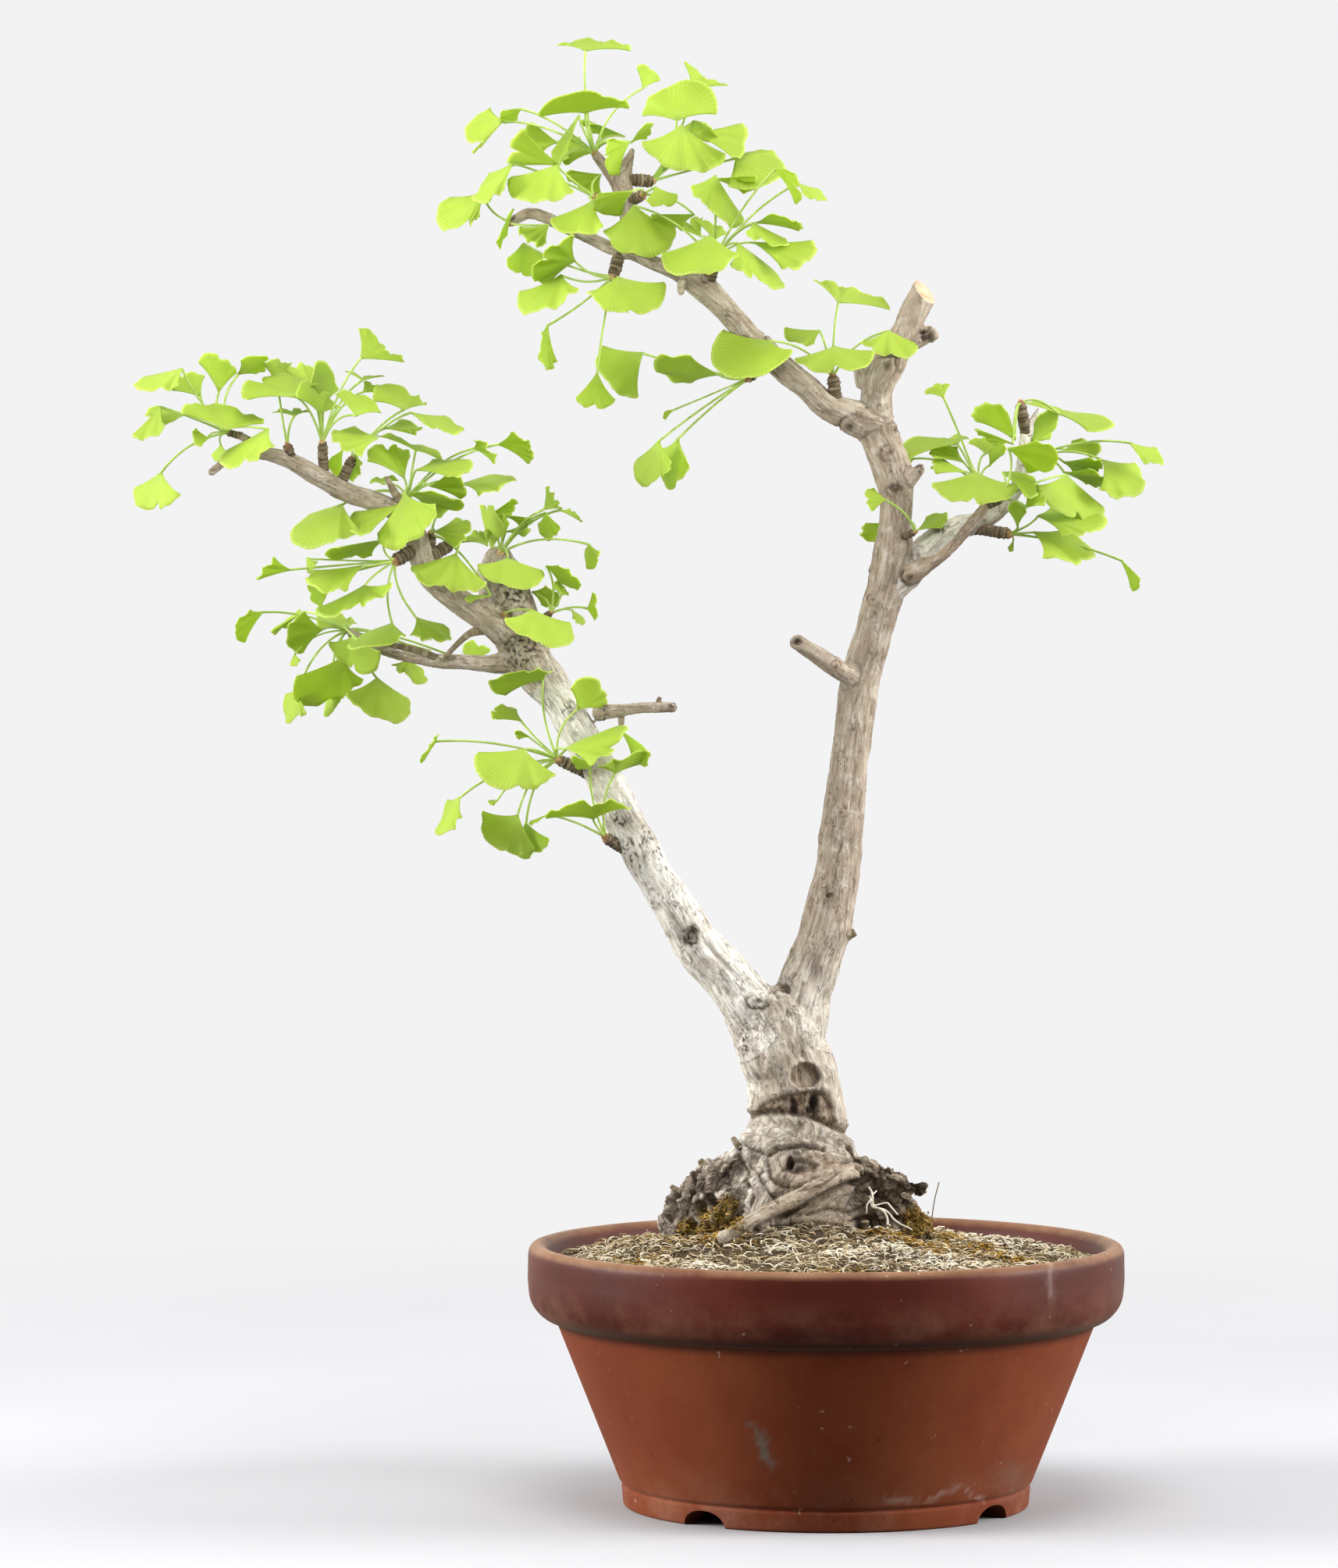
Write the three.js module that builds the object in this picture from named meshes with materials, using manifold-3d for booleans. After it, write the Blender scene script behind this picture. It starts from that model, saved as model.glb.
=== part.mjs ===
// Ginkgo bonsai in a round terracotta training bowl.
// Millimetres, +Z up, front toward -Y. The work is laid out about the pot's axis (x = y = 0) with the
// ground at z = 0; at the end the whole group is shifted so that the part stands on the origin.
import * as THREE from 'three';
import Module from 'manifold-3d';

const wasm = await Module();
wasm.setup();
const { Manifold, Mesh } = wasm;

// ---------------------------------------------------------------- driving dimensions
const RIM_R = 150;             // outer radius of the rim band
const POT_H = 132;             // height of the bowl
const BAND_H = 36;             // height of the rim band
const WALL_TOP_R = 136;        // body radius under the band
const WALL_FOOT_R = 104;       // body radius above the foot
const FOOT_R = 102;            // outer radius of the foot ring
const LIP_IN_R = 138;          // inner radius at the lip
const WALL = 10;               // wall thickness
const FLOOR_TOP = 20;          // top of the bowl's floor
const FOOT_REC = 9;            // recess inside the foot ring
const FOOT_W = 13;             // width of the foot ring
const NOTCH_W = 25;            // width of a foot notch
const NOTCH_H = 8;             // height of a foot notch
const NOTCH_AT = -37.5;        // bearing of the first notch from the front, degrees
const NOTCHES = 4;
const DRAIN_R = 13;            // drain hole
const SCREEN_R = 22;           // mesh screen over the drain hole
const SCREEN_T = 1.2;
const ROUND = 28;              // facets round the bowl and the soil
const GAP = 0.35;              // clearance between touching pieces
const SOIL_EDGE_Z = 121.5;     // soil level at the wall
const SOIL_MOUND = 25;         // extra height of the mound at the trunk
const PEG_R = 17;              // hidden root peg of the tree
const PEG_BOTTOM = 84;
const BLADE_T = 0.7;           // leaf blade thickness
const STALK_R = 0.78;          // leaf stalk radius
const BUD_R = 2.9;             // bud at a shoot's end, where its stalks meet
const LEAF_R = 25;             // usual length of a leaf blade from stalk to margin
const STALK_L = 33;            // usual length of a leaf stalk

// The tree is laid out as it stands in front elevation: x and z are given in the plane y = 0 and
// each point is then carried along the line of sight of a viewer who stands at VIEW.
const VIEW = new THREE.Vector3(-79, -2895, 420.6);
function carry(x, z, y) {
  const t = 1 + y / -VIEW.y;
  return new THREE.Vector3(VIEW.x + (x - VIEW.x) * t, y, VIEW.z + (z - VIEW.z) * t);
}

// ---------------------------------------------------------------- small helpers
function solid(points, faces) {
  const vertProperties = new Float32Array(points.length * 3);
  points.forEach((p, i) => {
    vertProperties[3 * i] = p.x;
    vertProperties[3 * i + 1] = p.y;
    vertProperties[3 * i + 2] = p.z;
  });
  const mesh = new Mesh({ numProp: 3, vertProperties, triVerts: new Uint32Array(faces.flat()) });
  mesh.merge();
  return new Manifold(mesh);
}

// Height of the thinnest face: a skin with very thin slivers doesn't stay closed once it is written.
function thinnest(body) {
  const mesh = body.getMesh();
  const corner = (i) => new THREE.Vector3().fromArray(mesh.vertProperties, i * mesh.numProp);
  let least = Infinity;
  for (let t = 0; t < mesh.triVerts.length; t += 3) {
    const [a, b, c] = [corner(mesh.triVerts[t]), corner(mesh.triVerts[t + 1]), corner(mesh.triVerts[t + 2])];
    const longest = Math.max(a.distanceTo(b), b.distanceTo(c), c.distanceTo(a));
    const area = b.clone().sub(a).cross(c.clone().sub(a)).length();
    least = Math.min(least, area / longest);
  }
  return least;
}

const largest = (body) => body.decompose().sort((a, b) => b.volume() - a.volume())[0];

// First of the variants whose skin has no thin sliver, or else the best of them.
function cleanest(variants, make) {
  let best = null;
  for (const variant of variants) {
    const body = make(variant);
    const least = thinnest(body);
    if (!best || least > best.least) best = { body, least };
    if (least > 0.002) break;
  }
  return best.body;
}

function toGeometry(body) {
  const mesh = body.getMesh();
  const pos = new Float32Array(mesh.numVert * 3);
  for (let i = 0; i < mesh.numVert; i++) {
    for (let k = 0; k < 3; k++) pos[3 * i + k] = mesh.vertProperties[i * mesh.numProp + k];
  }
  const geo = new THREE.BufferGeometry();
  geo.setAttribute('position', new THREE.BufferAttribute(pos, 3));
  geo.setIndex(new THREE.BufferAttribute(new Uint32Array(mesh.triVerts), 1));
  geo.computeVertexNormals();
  return geo;
}

// Closed tube along a list of points {p, r}; lobes make the section uneven like bark.
function tube(rings, sides, lobe = 0, flat = 1) {
  const points = [];
  const faces = [];
  const n = rings.length;
  let side = null;
  rings.forEach((ring, i) => {
    const a = rings[Math.max(0, i - 1)].p;
    const b = rings[Math.min(n - 1, i + 1)].p;
    const dir = b.clone().sub(a).normalize();
    if (!side) {
      const ref = Math.abs(dir.y) > 0.9 ? new THREE.Vector3(1, 0, 0) : new THREE.Vector3(0, 1, 0);
      side = ref.clone().addScaledVector(dir, -ref.dot(dir)).normalize();
    } else {
      side = side.clone().addScaledVector(dir, -side.dot(dir)).normalize();
    }
    const other = dir.clone().cross(side);
    for (let k = 0; k < sides; k++) {
      const w = (2 * Math.PI * k) / sides;
      const wave = lobe * (0.6 * Math.sin(3 * w + i * 0.55) + 0.4 * Math.sin(5 * w - i * 0.9));
      const r = ring.r * (1 + wave);
      points.push(ring.p.clone().addScaledVector(side, r * flat * Math.cos(w))
        .addScaledVector(other, r * Math.sin(w)));
    }
  });
  for (let i = 0; i < n - 1; i++) {
    for (let k = 0; k < sides; k++) {
      const a = i * sides + k;
      const b = i * sides + ((k + 1) % sides);
      faces.push([a, b, a + sides], [b, b + sides, a + sides]);
    }
  }
  for (let k = 1; k < sides - 1; k++) {
    faces.push([0, k + 1, k]);
    const e = (n - 1) * sides;
    faces.push([e, e + k, e + k + 1]);
  }
  const body = solid(points, faces);
  return body;
}

function path(list, sides, lobe, flat) {
  return tube(list.map(([x, z, y, r]) => ({ p: carry(x, z, y), r })), sides, lobe, flat);
}

// ---------------------------------------------------------------- pot
function lathe(profile, sides) {
  const points = [];
  const faces = [];
  const m = profile.length;
  for (let k = 0; k < sides; k++) {
    const w = (2 * Math.PI * k) / sides;
    profile.forEach(([r, z]) => points.push(new THREE.Vector3(r * Math.cos(w), r * Math.sin(w), z)));
  }
  for (let k = 0; k < sides; k++) {
    for (let j = 0; j < m; j++) {
      const a = k * m + j;
      const b = k * m + ((j + 1) % m);
      const c = ((k + 1) % sides) * m + j;
      const d = ((k + 1) % sides) * m + ((j + 1) % m);
      faces.push([a, c, b], [b, c, d]);
    }
  }
  return solid(points, faces);
}

const innerR = (z) => WALL_FOOT_R - WALL + ((WALL_TOP_R - WALL_FOOT_R) * (z - 12)) / (POT_H - BAND_H - 14);

function makePot() {
  const under = POT_H - BAND_H - 2;
  const profile = [
    [DRAIN_R, FLOOR_TOP - 11], [FOOT_R - FOOT_W - 2, FOOT_REC], [FOOT_R - FOOT_W, 0], [FOOT_R, 0],
    [FOOT_R + 0.9, 10.4], [WALL_FOOT_R - 0.4, 12],
    [WALL_TOP_R, under], [WALL_TOP_R + 9, under + 2.4], [RIM_R - 1.4, under + 10],
    [RIM_R, POT_H - 5], [RIM_R - 4, POT_H], [LIP_IN_R + 2, POT_H - 0.6], [LIP_IN_R, POT_H - 5],
    [innerR(under) + 4, under + 6], [innerR(FLOOR_TOP + 8), FLOOR_TOP + 8],
    [innerR(FLOOR_TOP) - 8, FLOOR_TOP], [DRAIN_R, FLOOR_TOP],
  ];
  let body = lathe(profile, ROUND);
  const notch = Manifold.cylinder(60, NOTCH_W / 2, NOTCH_W / 2, 12)
    .scale([1, NOTCH_H / (NOTCH_W / 2), 1]).rotate([90, 0, 0]).translate([0, -(FOOT_R - 34), 0]);
  for (let i = 0; i < NOTCHES; i++) {
    body = body.subtract(notch.rotate([0, 0, NOTCH_AT + (360 / NOTCHES) * i]));
  }
  return body;
}

// ---------------------------------------------------------------- wood
// Every row is [x, z, depth, radius]; the lists run from the root of a limb to its end.
const TRUNK = [
  [-15, 128, 0, 34], [-15, 148, 0, 33], [-15, 160, 0, 31.5], [-15.5, 171, 0, 29], [-15.5, 181, 0, 26.5],
  [-13, 190, 0, 24.6], [-14.7, 200, 0, 23.2], [-16.5, 210, 0, 22.4], [-19, 219, 0, 22.2],
  [-23, 228, 0, 22.6], [-25, 238, 0, 22.4], [-27, 247, 0, 19],
];
const LEFT_TRUNK = [
  [-26, 232, -1, 17], [-46, 260, -3, 12.9], [-64, 281, -5, 12], [-76, 301, -7, 11],
  [-89, 321, -8, 9.8], [-99.7, 341, -9, 9.9], [-109.5, 361, -8, 9.2], [-120.5, 381, -7, 9],
  [-133, 403, -5, 8.7], [-147, 422, -2, 11.4], [-156, 441, 4, 12.6], [-161, 456, 8, 13],
  [-164, 468, 9, 12.5], [-165, 476, 10, 8],
];
const RIGHT_TRUNK = [
  [-18, 230, 2, 17], [-10.5, 260, 4, 14], [-3.5, 280, 5, 13], [2.2, 300, 6, 12.3], [5.9, 321, 7, 11.3],
  [9, 347, 8, 10.7], [12.3, 378, 9, 9.5], [16.8, 412, 9, 10.2], [24.2, 441, 7, 9.5], [31, 467, 5, 9.8],
  [35.2, 498, 3, 8.3], [33.6, 518, 3, 10], [26, 538, 4, 9.4], [24.8, 558, 5, 8], [30, 572, 5, 8.6],
  [38.5, 587, 5, 7.2], [44.5, 600, 5, 6.9], [51.5, 614, 5, 6.7],
];
const LIMBS = {
  topShoulder: { sides: 6, lobe: 0.05, rows: [[20, 562, 5, 5.5], [18.6, 570, 5, 5], [17.8, 577, 5, 3.8]] },
  stubKnob: { sides: 6, lobe: 0.08, rows: [[43, 584, 4, 4.6], [49, 587.5, 4, 4.2], [54, 588, 4, 3.2]] },
  leftBranch: { sides: 7, lobe: 0.05, rows: [[-156, 434, -2, 8.5], [-172, 446, -6, 6.9],
    [-188, 457, -9, 6.6], [-199, 467, -11, 6.2], [-204, 478, -13, 6], [-207, 489, -16, 5.6],
    [-215, 499, -19, 5.2], [-228, 504.5, -22, 5], [-240, 508.5, -25, 4.9], [-250, 514, -27, 5],
    [-260, 519.5, -29, 4.7], [-270, 525, -31, 4.2], [-280, 528, -33, 3.5], [-290, 528.5, -35, 2.9],
    [-297, 527, -36, 2.5], [-303, 523.5, -37, 2.2], [-309, 518.5, -38, 1.9]] },
  leftTipShoot: { sides: 6, lobe: 0.05, rows: [[-276, 527, -32, 2.5], [-286, 533, -33, 2.1],
    [-295, 537.5, -33, 1.9]] },
  lowerLeft: { sides: 7, lobe: 0.06, rows: [[-148, 425, 0, 7], [-165, 422.8, 3, 5], [-180, 423.6, 8, 3.9],
    [-193, 424, 12, 3.7], [-205, 425.5, 16, 3], [-217, 427.6, 20, 2.5], [-228, 432, 25, 2.2],
    [-239.5, 439, 31, 1.8]] },
  greyTwig: { sides: 5, lobe: 0.03, rows: [[-194, 425, 12, 2], [-204, 429, 8, 1.8], [-214, 431.4, 5, 1.7],
    [-224, 433.4, 2, 1.4]] },
  crookTwig: { sides: 5, lobe: 0.05, rows: [[-173, 440, -6, 3], [-179, 438, -8, 1.9], [-184, 434, -9, 1.6],
    [-188, 430, -8, 1.4], [-191.5, 426, -4, 1.3]] },
  thornTwig: { sides: 5, lobe: 0.04, rows: [[-213, 499, -19, 2.9], [-215, 505, -22, 2.3],
    [-218, 511, -25, 1.8], [-221, 516.3, -28, 1.1]] },
  trunkStub: { sides: 6, lobe: 0.05, rows: [[-116, 398, -8, 4.4], [-104, 399.4, -13, 3.3],
    [-92, 400.6, -17, 2.9], [-77, 401, -22, 2.7]] },
  rightStub: { sides: 7, lobe: 0.04, rows: [[17, 414, 5, 5.4], [6, 420, -2, 4.5], [-5, 427.5, -9, 4.3],
    [-15, 434, -15, 4.1]] },
  darkStub: { sides: 5, lobe: 0.04, rows: [[38, 511, 1, 4.4], [43.5, 516.5, 0, 3.4], [47.5, 521, -1, 2.5]] },
  upperLeft: { sides: 7, lobe: 0.05, rows: [[24, 543, 4, 9.6], [14, 546.8, 2, 8.3], [0, 552.4, -1, 6.9],
    [-10, 561.5, -3, 6.4], [-20, 569.6, -5, 6.2], [-30, 578.8, -7, 6], [-40, 588.6, -9, 5.9],
    [-50, 600, -11, 6.1], [-60, 609.5, -13, 6.3], [-68, 614.5, -15, 5.3], [-77, 620, -17, 4],
    [-88, 624.5, -19, 3.5], [-97, 628.3, -21, 3.5], [-107, 630.6, -19, 3.2], [-118, 636, -16, 3],
    [-129, 640.5, -12, 2.9], [-139, 645.8, -9, 3], [-149, 648.6, -6, 2.9], [-157.6, 644.6, -5, 2.7]] },
  crookNub: { sides: 6, lobe: 0.05, rows: [[-70, 616, -16, 3], [-72.8, 612.5, -20, 2.3],
    [-73, 608.5, -22, 1.5]] },
  upright: { sides: 7, lobe: 0.06, rows: [[-98, 626, -21, 3.4], [-99, 640, -17, 4.1], [-100, 652, -13, 4.7],
    [-102.5, 663, -10, 5.3], [-101, 671, -9, 3.6], [-97.3, 680.5, -8, 1.3]] },
  uprightLeft: { sides: 6, lobe: 0.06, rows: [[-103, 661, -10, 4.2], [-108.5, 668.5, -9, 3.1],
    [-115.6, 677.8, -8, 2.4]] },
  rightBranch: { sides: 7, lobe: 0.05, rows: [[30, 459, 5, 8.4], [41, 470, 6, 8.2], [50, 479.5, 9, 7.5],
    [60, 487.4, 13, 6.4], [67, 491.6, 16, 5.9], [76, 493.4, 19, 5.3], [85, 499, 22, 4.8],
    [91.5, 505.5, 25, 4.1], [96.5, 513.5, 28, 3.5], [98.5, 525, 30, 3.1], [100.3, 538, 32, 2.9],
    [103.6, 545.4, 33, 1.7], [107.3, 550.8, 34, 1.2]] },
  frontBranch: { sides: 6, lobe: 0.04, rows: [[42, 471, 0, 4.6], [50.5, 473.8, -4, 3.2], [58, 475.6, -7, 2.7],
    [66, 484, -10, 2.6], [74, 494.6, -12, 2.6], [80.5, 502.6, -13, 2.4]] },
};
// Short ridged shoots: [x, z, depth] at the foot and at the end, then the radius.
const SHOOTS = {
  tipSpur: [-295, 537.5, -33, -299.5, 538.6, -34, 1.7],
  backNub: [-268, 525, -31, -270.2, 531.2, -35, 2.1],
  tallSpur: [-252, 514, -27, -253, 532.6, -29, 2.4],
  slantSpur: [-246.5, 508, -26, -238.6, 524.4, -22, 2.5],
  innerSpur: [-211.5, 496, -18, -210.3, 504.5, -16, 2.2],
  knuckleSpur: [-204, 482, -14, -215.6, 475, -21, 3.2],
  darkSpur: [-199.5, 469, -11, -198.8, 486.4, -7, 2.7],
  ringSpur: [-200, 476, -10, -190, 482, -2, 3],
  stumpSpur: [-164, 472, 8, -163.6, 477.4, 4, 2.6],
  barkSpur: [-157, 446, 2, -161.2, 447.4, -9, 2.4],
  hookSpur: [-149, 441, 2, -139.4, 447.6, -6, 1.7],
  midSpur: [-121, 368, -9, -134, 374.4, -16, 2.6],
  lowSpur: [-102, 330, -11, -110, 335, -17, 2.7],
  hangSpur: [-103.5, 629, -20, -106.8, 618, -21, 2.8],
  scarSpur: [-59, 612, -14, -57, 623, -19, 2.8],
  underSpur: [-31, 574, -8, -38.6, 566.6, -13, 2.5],
  nearSpur: [5, 555, -2, 3.4, 565.6, -4, 2.9],
  sideSpur: [-101, 652, -12, -115.4, 656.6, -19, 2.3],
  ringedSpur: [-101, 665.6, -10, -89, 664.8, -4, 2.9],
  budSpur: [-99, 654, -13, -93, 657.6, -20, 2.5],
  rightSpur: [76, 490.6, 17, 90.6, 488.2, 12, 2.8],
  midRightSpur: [84, 498.6, 22, 77.4, 511.4, 20, 2.3],
  frontSpur: [80, 502, -13, 86.2, 504.6, -15, 2],
  highSpur: [100.3, 538, 32, 97.8, 552, 31, 2.7],
  backSpur: [98.4, 522, 30, 104, 526.4, 25, 1.9],
  trunkBud: [37, 486, 0, 43.6, 488.6, -8, 1.7],
};
// Shoots that are simply the end of a limb.
const LIMB_ENDS = { lowerLeftEnd: 'lowerLeft', endSpur: 'upperLeft', crownSpur: 'uprightLeft' };
const ROOTS = [
  { sides: 8, lobe: 0.09, rows: [[-20, 182, -2, 15], [-38, 174, -4, 13.5], [-54, 164, -6, 13],
    [-65, 152, -7, 12.6], [-72, 138, -8, 12.5], [-76, 124, -8, 11]] },
  { sides: 7, lobe: 0.08, rows: [[2, 180, -4, 13], [16, 170, -8, 9.6], [29, 164.5, -11, 7.6],
    [38, 162, -13, 6.2], [46, 158.4, -15, 4.2]] },
  { sides: 7, lobe: 0.08, rows: [[8, 172, 0, 15], [24, 156, -1, 14], [40, 141, -2, 13], [52, 126, -2, 10]] },
  { sides: 6, lobe: 0.05, rows: [[20, 169, -24, 4], [10, 166, -31, 4.2], [-2, 160.5, -36, 4.1],
    [-14, 154.6, -39, 4], [-26, 148.4, -43, 3.9], [-38, 142.2, -47, 3.8], [-52, 133.5, -51, 3.6]] },
  { sides: 7, lobe: 0.08, rows: [[-18, 178, 12, 13], [-26, 160, 26, 11], [-32, 144, 42, 9], [-36, 126, 56, 7]] },
  { sides: 6, lobe: 0.08, rows: [[-6, 172, 12, 12], [6, 156, 28, 9], [16, 142, 42, 7.5], [24, 126, 54, 6]] },
  { sides: 6, lobe: 0.08, rows: [[-24, 168, -14, 12], [-32, 150, -26, 10], [-38, 130, -36, 8]] },
  { sides: 6, lobe: 0.08, rows: [[-34, 166, -10, 12], [-47, 151, -14, 12], [-56, 136, -18, 11], [-60, 122, -20, 9]] },
];
const SCARS = [
  // [x, z, depth, radius, squash]: raised callus round a healed cut
  [-10, 215, -20, 7.6, 0.45], [-18, 169, -27, 9, 0.45], [31, 571, -2, 6, 0.55],
];

function shootBody([x0, z0, y0, x1, z1, y1, r]) {
  const a = carry(x0, z0, y0);
  const b = carry(x1, z1, y1);
  const n = Math.max(2, Math.round(a.distanceTo(b) / 5));
  const rings = [];
  for (let i = 0; i <= n; i++) {
    const p = a.clone().lerp(b, i / n);
    const swell = i === n ? 0.95 : (i % 2 === 0 ? 0.92 : 1.12);
    rings.push({ p, r: r * swell });
  }
  return tube(rings, 5, 0.03);
}

function makeWood() {
  const parts = [
    path(TRUNK, 12, 0.07, 0.92), path(LEFT_TRUNK, 9, 0.05), path(RIGHT_TRUNK, 9, 0.05),
  ];
  Object.values(LIMBS).forEach((limb) => parts.push(path(limb.rows, limb.sides, limb.lobe)));
  Object.values(SHOOTS).forEach((row) => parts.push(shootBody(row)));
  ROOTS.forEach((root) => parts.push(path(root.rows, root.sides, root.lobe)));
  SCARS.forEach(([x, z, y, r, squash]) => {
    const c = carry(x, z, y);
    parts.push(Manifold.sphere(r, 8).scale([1, squash, 1]).translate([c.x, c.y, c.z]));
  });
  let wood = Manifold.union(parts);
  // The big stub is sawn off at a slant.
  const saw = carry(49, 609.5, 5);
  const block = Manifold.cube([60, 60, 30], true).translate([0, 0, 15])
    .rotate([25, 47, 0]).translate([saw.x, saw.y, saw.z]);
  wood = wood.subtract(block);
  const peg = Manifold.cylinder(150 - PEG_BOTTOM, PEG_R, PEG_R, 14).translate([-15, 0, PEG_BOTTOM]);
  return { wood, peg };
}

// ---------------------------------------------------------------- soil
function soilTop(r, w) {
  const s = Math.max(0, 1 - r / (LIP_IN_R - 3));
  const shift = 14 * Math.cos(w - Math.PI);
  const mound = SOIL_MOUND * Math.pow(Math.min(1, s * (1 + shift / 60)), 1.15);
  return SOIL_EDGE_Z + mound + 1.3 * Math.sin(5 * w + r * 0.11) * Math.min(1, s * 5)
    + 0.8 * Math.sin(9 * w - r * 0.2) * Math.min(1, s * 5);
}

function makeSoil(lift) {
  const sides = ROUND;
  const rings = [LIP_IN_R - 1.9, 112, 84, 58, 34];
  const points = [];
  const faces = [];
  const floor = FLOOR_TOP + SCREEN_T + 2 * GAP;
  const low = FLOOR_TOP + 9;
  const under = POT_H - BAND_H - 2;
  const wall = [[innerR(FLOOR_TOP) - 12, floor], [innerR(low) - 1.6, low], [innerR(under) - 1.2, under]];
  for (let k = 0; k < sides; k++) {
    const w = (2 * Math.PI * k) / sides;
    wall.forEach(([r, z]) => points.push(new THREE.Vector3(r * Math.cos(w), r * Math.sin(w), z)));
    rings.forEach((r) => points.push(new THREE.Vector3(r * Math.cos(w), r * Math.sin(w), soilTop(r, w) + lift)));
  }
  const m = wall.length + rings.length;
  const bottom = points.length;
  points.push(new THREE.Vector3(0, 0, floor));
  points.push(new THREE.Vector3(0, 0, SOIL_EDGE_Z + SOIL_MOUND + lift));
  for (let k = 0; k < sides; k++) {
    const q = (k + 1) % sides;
    for (let j = 0; j < m - 1; j++) {
      faces.push([k * m + j, q * m + j, k * m + j + 1], [k * m + j + 1, q * m + j, q * m + j + 1]);
    }
    faces.push([k * m, bottom, q * m]);
    faces.push([k * m + m - 1, q * m + m - 1, bottom + 1]);
  }
  return solid(points, faces);
}

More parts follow.
